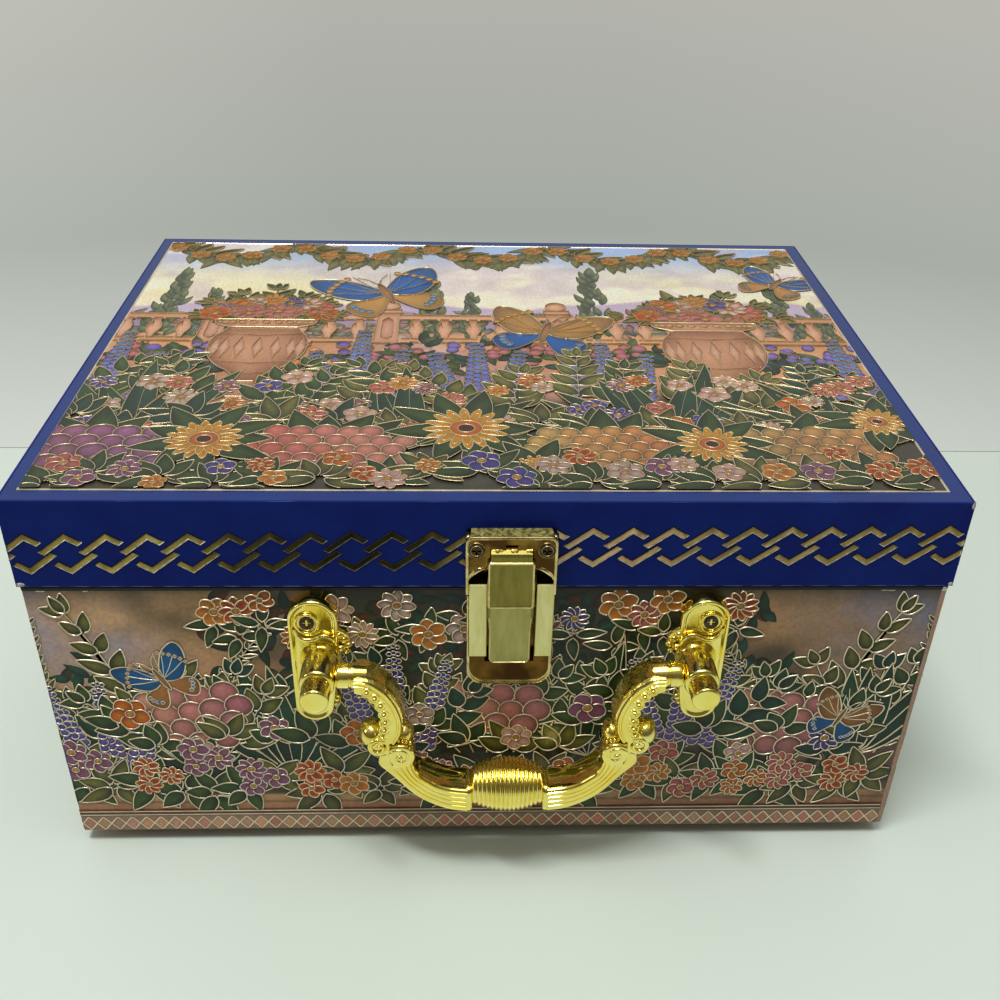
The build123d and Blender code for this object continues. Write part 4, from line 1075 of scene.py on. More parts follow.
# ------------------------------------------------------------------ foil chain round the lid
def bar(pts, w, cap):
    """stroke with slanted ends, as a closed outline"""
    p = np.asarray(pts, float)
    t = np.diff(p, axis=0)
    t /= np.linalg.norm(t, axis=1)[:, None]
    left, right = [], []
    for i in range(len(p)):
        if i == 0 or i == len(p) - 1:
            tt = t[0] if i == 0 else t[-1]
            n = np.array([-tt[1], tt[0]])
            c = np.asarray(cap[0 if i == 0 else 1], float)
            c = c / np.linalg.norm(c)
            s = (w / 2) / abs(c @ n)
            sg = 1 if c @ n > 0 else -1
            left.append(p[i] + c * s * sg)
            right.append(p[i] - c * s * sg)
        else:
            n0, n1 = np.array([-t[i - 1][1], t[i - 1][0]]), np.array([-t[i][1], t[i][0]])
            m = n0 + n1
            m /= np.linalg.norm(m)
            s = (w / 2) / (m @ n0)
            left.append(p[i] + m * s)
            right.append(p[i] - m * s)
    return np.array(left + right[::-1])


PER, HZ = 11.89, 6.0
LEGL, LEGR = np.array([7.8, HZ]), np.array([4.1, -2.6])


# gold foil colour along the chain with painted reflection: near black from u -77 to -9, lighter warm gold towards both
# ends
FOIL_U = (-142, -118, -98, -88, -77, -46, -20, -9, 8, 24, 40, 70, 100, 142)
FOIL_COLOUR_AND_REFLECTION = ((0.26, 0.18, 0.07), (0.34, 0.25, 0.10), (0.44, 0.33, 0.14), (0.28, 0.20, 0.07), (0.07, 0.055, 0.02), (0.022, 0.018, 0.009), (0.028, 0.022, 0.011), (0.20, 0.14, 0.06), (0.42, 0.28, 0.15),
          (0.52, 0.36, 0.23), (0.48, 0.31, 0.19), (0.38, 0.26, 0.14), (0.32, 0.23, 0.11), (0.36, 0.24, 0.11))


def chain_rim(mesh, poly, place):
    """raised edge of a foil stroke, with a painted highlight along the lower side and painted shadow along the upper
    """
    p = dense(poly, 1.1)
    nx = np.roll(p, -1, 0) - np.roll(p, 1, 0)
    area2 = (p[:, 0] * np.roll(p[:, 1], -1) - np.roll(p[:, 0], -1) * p[:, 1]).sum()
    if area2 < 0:
        p, nx = p[::-1], -nx[::-1]
    out = np.stack([nx[:, 1], -nx[:, 0]], -1) / (np.linalg.norm(nx, axis=1)[:, None] + 1e-9)
    # painted highlight on the lower, right-facing side of the rim and painted shadow on the upper side; between u -88
    # and -6 the highlight is dimmed as painted reflection
    low = np.clip(0.5 - 0.9 * out[:, 1] + 0.35 * out[:, 0], 0, 1)[:, None]
    col = np.array([0.05, 0.04, 0.03]) * (1 - low) + np.array([0.80, 0.74, 0.56]) * low * (0.75 + 0.25 * np.sin(p[:, :1] * 2.3)) * np.interp(p[:, :1], (-88, -74, -16, -6), (1, 0.24, 0.24, 1))
    vs, cs = [], []
    for o, h in ((0.06, 0.0), (-0.02, 0.24), (-0.20, 0.26), (-0.34, 0.14)):
        vs += [place(q[0], q[1], h) for q in p + out * o]
        cs.append(col)
    m = len(p)
    mesh.add(vs, [(r * m + j, r * m + (j + 1) % m, (r + 1) * m + (j + 1) % m, (r + 1) * m + j) for r in range(3) for j in range(m)], np.vstack(cs))


def chain(name, half, place, phase, rise=((-142, 142), (124.0, 124.0))):
    core, rim = Mesh(), Mesh()
    # painted reflection: the foil colour along the chain, with sine streaks of lighter and darker foil
    tone = lambda u: [float(np.interp(u, FOIL_U, [c[k] for c in FOIL_COLOUR_AND_REFLECTION])) * (0.80 + 0.20 * math.sin(u * 1.7) + 0.18 * math.sin(u * 4.1 + 1)) for k in range(3)]
    lim = (-half + 0.25, half - 0.25, 100, 140)
    for i in range(-2, int(half * 2 / PER) + 3):
        x = -half + phase + i * PER
        zc = float(np.interp(x, rise[0], rise[1]))
        up = [(x - 7.8, zc), (x, zc + HZ), (x + 4.1, zc + HZ - 2.6)]
        xv = x + 0.4 + 0.5 * x / half
        dn = [(xv + 7.8, zc), (xv, zc - HZ), (xv - 4.1, zc - HZ + 2.6)]
        for pts in (up, dn):
            full = bar(pts, 1.95, (LEGR, LEGL))
            for k, quad in enumerate((full[[0, 1, 4, 5]], full[[1, 2, 3, 4]])):
                d = np.subtract(pts[k + 1], pts[k])
                d = np.array([-d[1], d[0]]) / np.linalg.norm(d)
                d = d if d[1] > 0 else -d
                fine = []
                for j in range(4):
                    fine += [quad[j] + (quad[(j + 1) % 4] - quad[j]) * t for t in (0, 0.25, 0.5, 0.75)]
                p = clip_poly(fine, lim)
                if p is None or len(p) < 3:
                    continue
                # painted shade and highlight: each stroke darkens towards its upper edge and lightens towards its
                # lower edge
                cols = [np.array(tone(q[0])) * (1 - 0.42 * np.clip((q - np.array(pts[k])) @ d, -1, 1)) for q in p] + [tone(p[:, 0].mean())]
                vs = [place(q[0], q[1], 0.16) for q in p] + [place(p[:, 0].mean(), p[:, 1].mean(), 0.16)]
                m = len(p)
                core.add(vs, [(j, (j + 1) % m, m) for j in range(m)], cols)
            q = clip_poly(full, lim)
            if q is not None and len(q) > 2:
                chain_rim(rim, q, place)
    core.build("lid_%s_chain" % name, M["chainfoil"], "lid", "blue_paper", smooth=False)
    rim.build("lid_%s_chain_edge" % name, M["chainfoil"], "lid", "blue_paper", smooth=False)


chain("front", 142.4, lambda u, v, h: (u, LIDF - h, v), 5.55, ((-142, -10, 20, 142), (122.8, 124.1, 125.3, 126.3)))
chain("back", 142.4, lambda u, v, h: (-u, 112.5 + h, v), 5.0)
chain("left", 112.4, lambda u, v, h: (-142.5 - h, -u, v), 2.0)
chain("right", 112.4, lambda u, v, h: (142.5 + h, u, v), 3.0)

# bulged, lightly worn corners of the folded paper
for i, (sx, sy) in enumerate(((-1, -1), (1, -1), (-1, 1), (1, 1))):
    m = Mesh()
    for zc, rx, rz in ((139.9, 0.55, 1.25), (111.75, 1.5 if sx < 0 else 0.9, 0.75)):
        ball(m, (sx * (142.65 - rx), sy * 112.30, zc), (rx, 0.55, rz), seg=12, rings=8)
    m.build("lid_corner_wear_%d" % i, M["blueworn"], "lid", "blue_paper")
# a lighter line along the lid's top edge: partly rubbed paper, partly a painted highlight on the rounded edge
m = Mesh()
for a, b in (((-142.1, -112.1), (142.1, -112.1)), ((142.1, -112.1), (142.1, 112.1)), ((142.1, 112.1), (-142.1, 112.1)), ((-142.1, 112.1), (-142.1, -112.1))):
    u = np.linspace(0, 1, 90)
    d = np.subtract(b, a) / np.linalg.norm(np.subtract(b, a))
    nn = np.array([d[1], -d[0]])
    path = [(a[0] + (b[0] - a[0]) * x + nn[0] * 0.19, a[1] + (b[1] - a[1]) * x + nn[1] * 0.19, 140.79) for x in u]
    tube(m, path, 0.2, seg=6, radii=[0.19 + 0.05 * math.sin(x * 61) * math.sin(x * 17) for x in u])
m.build("lid_top_edge_wear_and_highlight", M["blueedge"], "lid", "blue_paper")
# painted highlight: a lighter line along the lid's lower edge
m = Mesh()
for sy in (-1, 1):
    u = np.linspace(-141.9, 141.9, 90)
    tube(m, [(x, sy * 112.38, 111.12) for x in u], 0.15, seg=6, radii=[0.15 + 0.04 * math.sin(x * 0.7) for x in u])
m.build("lid_lower_edge_highlight", M["blueedge"], "lid", "blue_paper")
# paper border round the printed panel, glossier than the wrap and a little lighter in colour as painted sheen from the
# ceiling
m = Mesh()
for a0, a1, b0, b1 in ((-141.75, 141.75, -111.75, V0), (-141.75, 141.75, V1, 111.75), (-141.75, U0, V0, V1), (U1, 141.75, V0, V1)):
    nu, nv = max(1, int((a1 - a0) / 4)), max(1, int((b1 - b0) / 4))
    vs = [(a0 + (a1 - a0) * i / nu, b0 + (b1 - b0) * j / nv, 141.02) for i in range(nu + 1) for j in range(nv + 1)]
    m.add(vs, [(i * (nv + 1) + j, (i + 1) * (nv + 1) + j, (i + 1) * (nv + 1) + j + 1, i * (nv + 1) + j + 1) for i in range(nu) for j in range(nv)])
m.build("lid_top_border", M["bluetop"], "lid", "blue_paper", smooth=False)
# chipped spots on the case just under the lid, and a near-black sheet painted as the shadow line under the lid
m = Mesh()
for u, rx, rz in ((-136.2, 1.5, 0.42), (-122.8, 0.8, 0.40), (121.9, 1.1, 0.3), (124.0, 1.5, 0.32), (140.6, 0.9, 0.9)):
    ball(m, (u, FRONT - 0.12, 108.9 if u < 139 else 109.3), (rx, 0.14, rz), seg=12, rings=6)
m.build("case_front_chips", M["chip"], "case", "printed_paper")
grid_panel("case_front_shadow_gap", (-140.75, 142.2, 109.2, 110.2), wall_place("front"), lambda u, v: np.full(u.shape + (3,), 0.012), 6.0, "case", "printed_paper", h=0.16)


# ------------------------------------------------------------------ latch
def rim_path(outline, inset, k, base=FRONT):
    return [front_pt(q, k, base) for q in offset(outline, inset)]


lidplate = dense(rrect(LX - 13.6, LX + 13.6, 111.4, 132.1, 2.0, corners=(0, 0, 1, 1)), 1.0)
# painted highlight: the lid plate's rim bead in the bright rim brass
m = Mesh()
pts = [(LX - 13.15, 111.5)] + [tuple(q) for q in dense(rrect(LX - 13.15, LX + 13.15, 90, 131.65, 1.9, corners=(0, 0, 1, 1)), 0.8) if q[1] > 111.6] 
side = [q for q in pts]
arc = [(LX - 13.15, 111.6)] + [(LX - 13.15, z) for z in np.arange(112.5, 129.5, 1.0)]
for a in np.linspace(180, 90, 8):
    arc.append((LX - 13.15 + 1.9 + 1.9 * math.cos(math.radians(a)), 131.65 - 1.9 + 1.9 * math.sin(math.radians(a))))
arc2 = [(2 * LX - q[0], q[1]) for q in reversed(arc)]
tube(m, [front_pt(q, 5.75) for q in arc + arc2], 0.52, seg=8)
m.build("latch_lid_rim", M["antiquerim"], "lid", "latch_brass")

# curved tops of the two side cut-outs, in the bright rim brass as a painted highlight
m = Mesh()
for s in (-1, 1):
    path, rad = [], []
    for t in np.linspace(0, 1, 18):
        g = math.radians(6 + 92 * t)
        path.append(front_pt((LX + s * (7.5 + 5.3 * math.cos(g)), 116.0 + 5.1 * math.sin(g)), 5.7))
        rad.append(0.12 + 0.78 * math.sin(math.pi * min(1, t * 1.02)) ** 1.2)
    tube(m, path, 0.5, seg=8, radii=rad)
m.build("latch_lid_cutout_edges", M["antiquerim"], "lid", "latch_brass")

# base plate rim in the bright rim brass as a painted highlight; side bars in the light cream brass, partly finish and
# partly painted reflection
m = Mesh()
arc = [(LX - 12.8, 110.4)] + [(LX - 12.8, z) for z in np.arange(109.5, 83.0, -1.2)]
for a in np.linspace(180, 270, 12):
    arc.append((LX - 12.8 + 5.3 + 5.3 * math.cos(math.radians(a)), 77.25 + 5.3 + 5.3 * math.sin(math.radians(a))))
arc2 = [(2 * LX - q[0], q[1]) for q in reversed(arc)]
tube(m, [front_pt(q, 4.75) for q in arc + arc2], 0.50, seg=8)
m.build("latch_base_rim", M["antiquerim"], "case", "latch_brass")
m = Mesh()
for s in (-1, 1):
    a, b = (LX - 12.6, LX - 7.1) if s < 0 else (LX + 7.8, LX + 13.2)
    o = dense(rrect(a, b, 87.6, 115.1, 0.35, seg=3), 1.2)
    stack(m, o, [(0, 5.45), (0, 5.75), (0.18, 5.92)])
m.build("latch_side_bars", M["creambar"], "case", "latch_brass", angle=25)

# lever: slightly dished sheet in the light olive brass, partly finish and partly painted reflection, with a turned
# edge in the bright rim brass as a painted highlight
def lever_outline(inset=0.0):
    top, bot = 107.0, 85.5
    pts = []
    for z in np.linspace(top, bot + 1.6, 14):
        pts.append((-(6.4 + 0.5 * sst(np.float64(z), 97, 106)), z))
    for a in np.linspace(180, 270, 7)[1:]:
        pts.append((-6.4 + 1.8 + 1.8 * math.cos(math.radians(a)), bot + 1.8 + 1.8 * math.sin(math.radians(a))))
    return [(LX + u, z) for u, z in pts] + [(LX - u, z) for u, z in reversed(pts)]


lo_ = np.array(lever_outline())
m = Mesh()
stack(m, lo_, [(-0.03, 4.95), (-0.03, 6.25), (0.3, 6.6), (0.7, 6.6), (0.95, 6.46)])
m.build("latch_lever_skin", M["olivelight"], "latch_lever", "latch_brass", angle=30)
m = Mesh()
path = lever_outline()
tube(m, [front_pt(q, 6.5) for q in offset(np.array(path), 0.35)][1:-1], 0.24, seg=6)
m.build("latch_lever_edge", M["antiquerim"], "latch_lever", "latch_brass")

# hook: square pad in the darker olive brass, partly finish and partly painted reflection, with a turned edge in the
# bright rim brass as a painted highlight, and the lip that curls over the catch
hk = dense(rrect(LX - 7.1, LX + 7.1, 107.3, 124.3, 1.1), 0.9)
m = Mesh()
stack(m, hk, [(-0.03, 6.2), (-0.03, 7.35), (0.3, 7.75), (0.75, 7.72)], cap=False)
m.build("latch_hook_rim", M["antiquerim"], "latch_hook", "latch_brass", angle=40)
m = Mesh()
stack(m, offset(hk, 0.7), [(0.0, 7.68), (0.28, 7.56)], back_cap=False)
m.build("latch_hook_pad", M["olive"], "latch_hook", "latch_brass", smooth=False)
m = Mesh()
prof = [(7.2, 123.6)]
for a in np.linspace(0, 90, 12):
    prof.append((4.3 + 3.0 * math.cos(math.radians(a)), 125.0 + 3.35 * math.sin(math.radians(a))))
prof += [(3.9, 128.35)]
inner = [(4.0, 125.1), (6.15, 125.05), (6.15, 123.6)]
ring = prof + inner
us = np.linspace(-6.1, 6.1, 25)
vs = []
for u in us:
    w = 0.16 * math.sin(u * 1.3 + 0.6) + 0.09 * math.sin(u * 4.3 + 1)
    for k, z in ring:
        vs.append((LX + u, FRONT - k - (w * 0.4 if k > 5 else 0), z + (w if z > 126 else 0)))
n = len(ring)
fs = [(i * n + j, i * n + (j + 1) % n, (i + 1) * n + (j + 1) % n, (i + 1) * n + j) for i in range(len(us) - 1) for j in range(n)]
fs += [tuple(range(n))[::-1], tuple((len(us) - 1) * n + j for j in range(n))]
m.add(vs, fs)
m.build("latch_hook_lip", M["creamlip"], "latch_hook", "latch_brass", angle=40)


# polished foot of the base plate, its dark brass partly finish and partly painted reflection, with a rim bead in the
# bright rim brass as a painted highlight, and the worn top wall of the lid plate
foot = [(LX - 13.35, 85.2)] + [(LX - 13.35, z) for z in np.arange(84.4, 81.4, -0.8)]
for a in np.linspace(180, 270, 14):
    foot.append((LX - 13.35 + 5.4 + 5.4 * math.cos(math.radians(a)), 75.9 + 5.4 + 5.4 * math.sin(math.radians(a))))
foot = foot + [(2 * LX - q[0], q[1]) for q in reversed(foot)]
m = Mesh()
stack(m, np.array(foot), [(0.0, 0.05), (0.0, 4.6), (0.18, 5.05)])
m.build("latch_base_foot", M["antiquedark"], "case", "latch_brass", angle=25)
m = Mesh()
tube(m, [front_pt(q, 4.85) for q in offset(np.array(foot), 0.45)][1:-1], 0.46, seg=8)
m.build("latch_base_foot_rim", M["antiquerim"], "case", "latch_brass")
m = Mesh()
wall_top = [(LX - 13.62, 126.5), (LX - 13.62, 130.1)]
for a in np.linspace(180, 90, 9):
    wall_top.append((LX - 13.62 + 2.02 + 2.02 * math.cos(math.radians(a)), 130.1 + 2.02 * math.sin(math.radians(a))))
wall_top = wall_top + [(2 * LX - q[0], q[1]) for q in reversed(wall_top)]
wall_top = resample(np.array(wall_top), 90)
ks = np.linspace(0.95, 5.5, 6)
vs = []
for i, q in enumerate(wall_top):
    for j, k in enumerate(ks):
        n = 0.05 * value_noise(q[0], k, 1.3, 6)
        vs.append((q[0], FRONT - k, q[1] + n))
fs = [(i * 6 + j, i * 6 + j + 1, i * 6 + j + 7, i * 6 + j + 6) for i in range(len(wall_top) - 1) for j in range(5)]
m.add(vs, fs)
m.build("latch_lid_plate_wall", M["olivewall"], "lid", "latch_brass", angle=60)
m = Mesh()
for s in (-1, 1):
    ball(m, (LX + s * 12.75, FRONT - 3.6, 131.35), (1.15, 1.9, 0.85), seg=14, rings=8)
m.build("latch_lid_plate_corners", M["antiquerim"], "lid", "latch_brass")
for body, spots in (("lid", ((LX - 10.4, 127.6), (LX + 10.4, 127.6))),):
    m = Mesh()
    for x, z in spots:
        ring = [(x + 2.55 * math.cos(a), z + 2.55 * math.sin(a)) for a in np.linspace(0, 2 * math.pi, 36, endpoint=False)]
        tube(m, [front_pt(q, 6.05) for q in ring], 0.24, seg=6, closed=True)
        ring = [(x + 1.75 * math.cos(a), z + 1.75 * math.sin(a)) for a in np.linspace(0, 2 * math.pi, 30, endpoint=False)]
        tube(m, [front_pt(q, 6.45) for q in ring], 0.16, seg=6, closed=True)
    m.build("latch_%s_screw_rings" % body, M["bronzering"], body, "latch_brass")


# ------------------------------------------------------------------ handle posts
for lr, s in (("left", -1), ("right", 1)):
    X = lambda u: HX + s * u
    circ = []
    for u, z, rr in ((60.6, 100.4, 7.6), (62.1, 66.4, 6.1), (59.0, 85.3, 6.0)):
        circ += [(u + rr * math.cos(a), z + rr * math.sin(a)) for a in np.linspace(0, 2 * math.pi, 48, endpoint=False)]
    pts = sorted(set((round(a, 4), round(b, 4)) for a, b in circ))

    def half_hull(p):
        h = []
        for q in p:
            while len(h) > 1 and (h[-1][0] - h[-2][0]) * (q[1] - h[-2][1]) - (h[-1][1] - h[-2][1]) * (q[0] - h[-2][0]) <= 0:
                h.pop()
            h.append(q)
        return h
    hull = half_hull(pts)[:-1] + half_hull(pts[::-1])[:-1]
    outline = dense([(X(u), z) for u, z in hull], 1.0)
    m = Mesh()
    stack(m, outline, [(0, 0.05), (0, 4.2), (0.25, 4.7), (0.7, 4.85), (1.2, 4.7), (1.55, 4.1), (2.0, 3.95)])
    m.build("handle_%s_plate" % lr, M["gold"], "case", "handle_gold", angle=50)
    m = Mesh()
    # boss around the screw, open in the middle
    ring = [(X(62.4) + 3.5 * math.cos(a), 99.3 + 3.5 * math.sin(a)) for a in np.linspace(0, 2 * math.pi, 32, endpoint=False)]
    tube(m, [front_pt(q, 4.25) for q in ring], 0.55, seg=8, closed=True)
    # scroll that runs under the screw to the inner edge
    sc = smooth_curve([(66.2, 97.6), (65.6, 95.2), (63.4, 93.5), (60.4, 93.6), (57.6, 94.9), (55.4, 94.2), (53.9, 92.0), (53.2, 89.6)], 30)
    tube(m, [front_pt((X(u), z), 4.7) for u, z in sc], 0.8, seg=8, radii=[0.45 + 0.5 * math.sin(math.pi * t) for t in np.linspace(0, 1, 30)])
    sc = smooth_curve([(54.6, 98.9), (53.6, 96.5), (51.8, 95.2), (50.4, 93.4), (50.6, 91.5), (52.0, 91.2)], 22)
    tube(m, [front_pt((X(u), z), 3.0) for u, z in sc], 0.9, seg=8, radii=[1.1 - 0.55 * t for t in np.linspace(0, 1, 22)])
    # leafy curls on the inner edge
    for u, z, a, b, k in ((53.2, 94.4, 2.0, 1.3, 3.4), (51.6, 92.6, 1.7, 1.2, 3.2), (50.4, 90.4, 1.5, 1.1, 3.0), (52.6, 89.4, 1.6, 1.3, 3.4),
                          (54.0, 87.4, 1.5, 1.2, 3.6), (51.0, 87.6, 1.2, 1.0, 2.6), (56.0, 70.6, 1.4, 1.8, 3.0), (55.0, 68.4, 1.4, 1.3, 2.8), (55.9, 66.3, 1.3, 1.2, 2.6)):
        ball(m, (X(u), FRONT - k, z), (a, 1.3, b), seg=12, rings=8)
    m.build("handle_%s_plate_scrolls" % lr, M["hammered"], "case", "handle_gold", angle=50)
    m = Mesh()
    o = (X(59.0), FRONT, 85.3)
    lathe(m, [(3.6, 6.7), (4.4, 6.5), (5.2, 5.8), (6.2, 5.45), (16.2, 5.45), (16.9, 5.2), (17.3, 4.6)], o, "k", seg=56)
    m.build("handle_%s_post_body" % lr, M["gold"], "case", "handle_gold", angle=50)
    m = Mesh()
    lathe(m, [(17.0, 4.2), (17.5, 4.45), (18.2, 4.5), (22.8, 4.35), (23.9, 4.3)], o, "k", seg=56)
    m.build("handle_%s_post_collar" % lr, M["hammered"], "case", "handle_gold", angle=50)
    m = Mesh()
    lathe(m, [(23.6, 4.30), (24.2, 4.22), (24.5, 3.9), (24.6, 3.3), (24.6, 0.3)], o, "k", seg=56)
    ob = m.build("handle_%s_post_end" % lr, M["gold"], "case", "handle_gold", angle=50)
    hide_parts("handle_%s_post" % lr)

# ------------------------------------------------------------------ bail
C_OUT = [(47.6, 87.4), (45.4, 87.4), (43.3, 86.8), (41.2, 85.6), (38.6, 83.2), (36.6, 80.4), (35.0, 77.2), (33.9, 73.8), (33.4, 70.4), (33.6, 67.0), (34.4, 64.2), (35.8, 61.6)]
C_IN = [(47.6, 82.4), (44.7, 81.2), (42.7, 79.0), (41.3, 76.0), (40.5, 72.6), (40.3, 69.0), (40.7, 65.6), (41.6, 62.2)]
L_OUT = [(41.2, 56.4), (41.6, 53.0), (40.0, 50.6), (38.2, 48.6), (35.2, 44.9), (32.2, 41.0), (28.4, 37.2), (23.2, 33.9), (18.8, 32.0), (13.2, 31.0)]
L_IN = [(31.4, 59.8), (30.0, 56.6), (30.4, 52.6), (29.0, 48.6), (26.1, 45.7), (22.8, 43.2), (18.7, 41.6), (13.2, 40.7)]


def ribbon(mesh, outer, inner, n, section, s, capn=True):
    o, i = smooth_curve(outer, n), smooth_curve(inner, n)
    vs = []
    m = None
    for a in range(n):
        d = o[a] - i[a]
        w = np.linalg.norm(d)
        d = d / w
        sec = section(w, a / (n - 1))
        m = len(sec)
        for q, k in sec:
            p = i[a] + d * q
            vs.append((HX + s * p[0], FRONT - k, p[1]))
    fs = [(a * m + b, a * m + (b + 1) % m, (a + 1) * m + (b + 1) % m, (a + 1) * m + b) for a in range(n - 1) for b in range(m)]
    fs += [tuple(range(m))[::-1], tuple((n - 1) * m + b for b in range(m))]
    mesh.add(vs, fs)
    return o, i


bail_bodies = []
for lr, s in (("left", -1), ("right", 1)):
    m = Mesh()

    def c_front(w, t):
        return [(0.5, 6.6), (0.0, 7.4), (0.0, 16.9), (0.35, 17.6), (0.8, 17.8), (w - 2.0, 17.8), (w - 1.75, 17.35), (w - 1.35, 17.35), (w - 1.1, 17.75), (w - 0.55, 17.75), (w - 0.25, 17.2), (w - 0.4, 6.6)]
    ribbon(m, C_OUT, C_IN, 40, c_front, s)
    m.build("bail_%s_scroll" % lr, M["gold"], "bail", "handle_gold", angle=40)
    m = Mesh()

    def c_back(w, t):
        b = 0.25 + 0.45 * math.sin(math.pi * t)
        return [(w - 1.2, 6.3), (w - 0.2, 6.3), (w + b * 0.5, 7.2), (w + b, 9.5), (w + b * 1.2, 12.0), (w + b, 14.6), (w + b * 0.4, 16.6), (w - 0.35, 17.1), (w - 1.2, 16.8)]
    ribbon(m, C_OUT, C_IN, 48, c_back, s)
    m.build("bail_%s_scroll_outside" % lr, M["hammered"], "bail", "handle_gold", angle=60)

    # beads with little rings along the inner edge
    m = Mesh()
    for u, z, rr in ((43.9, 83.1, 1.0), (41.6, 80.7, 1.05), (39.9, 77.6, 1.1), (39.0, 74.2, 1.05), (38.8, 70.8, 1.05), (39.1, 67.6, 1.0), (39.9, 64.9, 0.9)):
        ball(m, (HX + s * u, FRONT - 17.7, z), (rr * 0.86, 1.15, rr * 0.86), seg=14, rings=8)
        ring = [(HX + s * (u + 1.55 * rr * math.cos(a)), z + 1.55 * rr * math.sin(a)) for a in np.linspace(0, 2 * math.pi, 20, endpoint=False)]
        tube(m, [front_pt(q, 17.7) for q in ring], 0.3, seg=6, closed=True)
    m.build("bail_%s_beads" % lr, M["gold"], "bail", "handle_gold")

    # lower curl of the scroll and the bulb behind it
    m = Mesh()
    o = (HX + s * 41.2, FRONT, 60.3)
    lathe(m, [(6.4, 3.0), (7.0, 3.7), (17.2, 3.75), (17.7, 3.4), (17.75, 2.6), (17.3, 2.2), (17.2, 0.3)], o, "k", seg=40)
    g = np.linspace(0, 2.6 * math.pi, 48)
    pts = [(HX + s * (41.2 + (3.2 - 0.33 * a) * math.cos(2.2 - a)), FRONT - 17.5 - 0.5 * (a / 8), 60.3 + (3.2 - 0.33 * a) * math.sin(2.2 - a)) for a in g]
    tube(m, pts, 0.5, seg=8, radii=[0.62 - 0.035 * a for a in g])
    ball(m, (HX + s * 43.4, FRONT - 12.5, 62.6), (4.2, 5.2, 4.7), seg=28, rings=16)
    m.build("bail_%s_curl" % lr, M["gold"], "bail", "handle_gold", angle=50)

    # knuckle above the arm with a beaded collar
    m = Mesh()
    ball(m, (HX + s * 33.6, FRONT - 10.5, 61.2), (3.4, 4.4, 3.4), seg=24, rings=14)
    for i in range(7):
        t = i / 6
        ball(m, (HX + s * (38.6 - 7.4 * t), FRONT - 16.2, 61.2 + 0.9 * math.sin(math.pi * t)), (0.55, 0.9, 0.75), seg=10, rings=6)
    m.build("bail_%s_collar_beads" % lr, M["hammered"], "bail", "handle_gold")

    # head of the arm: disc with a spiral
    m = Mesh()
    o = (HX + s * 34.6, FRONT, 56.0)
    lathe(m, [(6.3, 4.0), (7.0, 4.75), (17.1, 4.8), (17.7, 4.45), (17.8, 3.9), (17.8, 0.3)], o, "k", seg=48)
    g = np.linspace(0, 2.9 * math.pi, 60)
    pts = [(HX + s * (34.6 + (4.1 - 0.40 * a) * math.cos(-0.9 + a)), FRONT - 17.8, 56.0 + (4.1 - 0.40 * a) * math.sin(-0.9 + a)) for a in g]
    tube(m, pts, 0.45, seg=8, radii=[0.5 - 0.02 * a for a in g])
    ball(m, (HX + s * 34.6, FRONT - 17.8, 56.0), (0.9, 0.7, 0.9), seg=12, rings=8)
    m.build("bail_%s_arm_head" % lr, M["gold"], "bail", "handle_gold", angle=50)

    # reeded arm
    m = Mesh()

    def reed(w, t):
        sec = [(0.5, 6.4), (0.0, 7.2), (-0.12, 12.0), (0.0, 16.8), (0.35, 17.5), (0.7, 17.7)]
        nr = 4
        a, b = 0.9, w - 0.9
        f = sst(t, 0.12, 0.30)
        for i in range(nr):
            for q in (0.0, 0.18, 0.5, 0.82):
                x = a + (b - a) * (i + q) / nr
                sec.append((x, 17.72 - float(f) * (0.62 if q == 0.0 else 0.0) + float(f) * (0.12 if q == 0.5 else 0)))
        sec += [(w - 0.8, 17.7), (w - 0.3, 17.4), (w, 16.6), (w + 0.1, 12.0), (w, 7.2), (w - 0.5, 6.4)]
        return sec
    ribbon(m, L_OUT, L_IN, 64, reed, s)
    m.build("bail_%s_reeded_arm" % lr, M["gold"], "bail", "handle_gold", angle=45)

    # raised lip where the arm meets the grip
    m = Mesh()
    a, b = sorted((HX + s * 11.5, HX + s * 13.9))
    ring = dense(rrect(-17.9, -6.3, 30.5, 41.3, 2.6, seg=6), 1.2)
    vs = []
    for x, ins in ((a, 0.7), (a + 0.35, 0.15), (a + 0.9, 0.0), (b - 0.9, 0.0), (b - 0.3, 0.25), (b, 0.8)):
        q = offset(ring, ins)
        vs += [(x, FRONT + p[0], p[1]) for p in q]
    n = len(ring)
    fs = [(i * n + j, i * n + (j + 1) % n, (i + 1) * n + (j + 1) % n, (i + 1) * n + j) for i in range(5) for j in range(n)]
    fs += [tuple(range(n))[::-1], tuple(5 * n + j for j in range(n))]
    m.add(vs, fs)
    m.build("bail_%s_lip" % lr, M["gold"], "bail", "handle_gold", angle=45)

    # neck that turns on the pivot
    m = Mesh()
    prof = [(44.0, 3.6), (47.4, 4.0), (47.9, 4.15), (48.6, 4.15), (48.9, 3.75), (49.3, 3.75), (49.6, 4.1), (52.6, 4.1), (53.0, 4.0), (53.35, 3.7)]
    lathe(m, [(s * u, rr) for u, rr in prof], (HX, FRONT - 12.0, 85.3), "x", seg=48)
    m.build("bail_%s_neck" % lr, M["gold"], "bail", "handle_gold", angle=40)

# ribbed barrel grip
prof = []
for x in np.linspace(-11.6, 11.6, 16 * 10 + 1):
    rr = 9.0 - 2.75 * (x / 11.6) ** 2
    prof.append((x, rr + 0.48 * abs(math.sin(math.pi * (x + 11.6) / 1.45)) - 0.40))
m = Mesh()
lathe(m, prof, (HX, FRONT - 12.0, 38.6), "x", seg=72)
ob = m.build("bail_grip", M["gold"], "bail", "handle_gold", angle=60)
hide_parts("handle_bail")


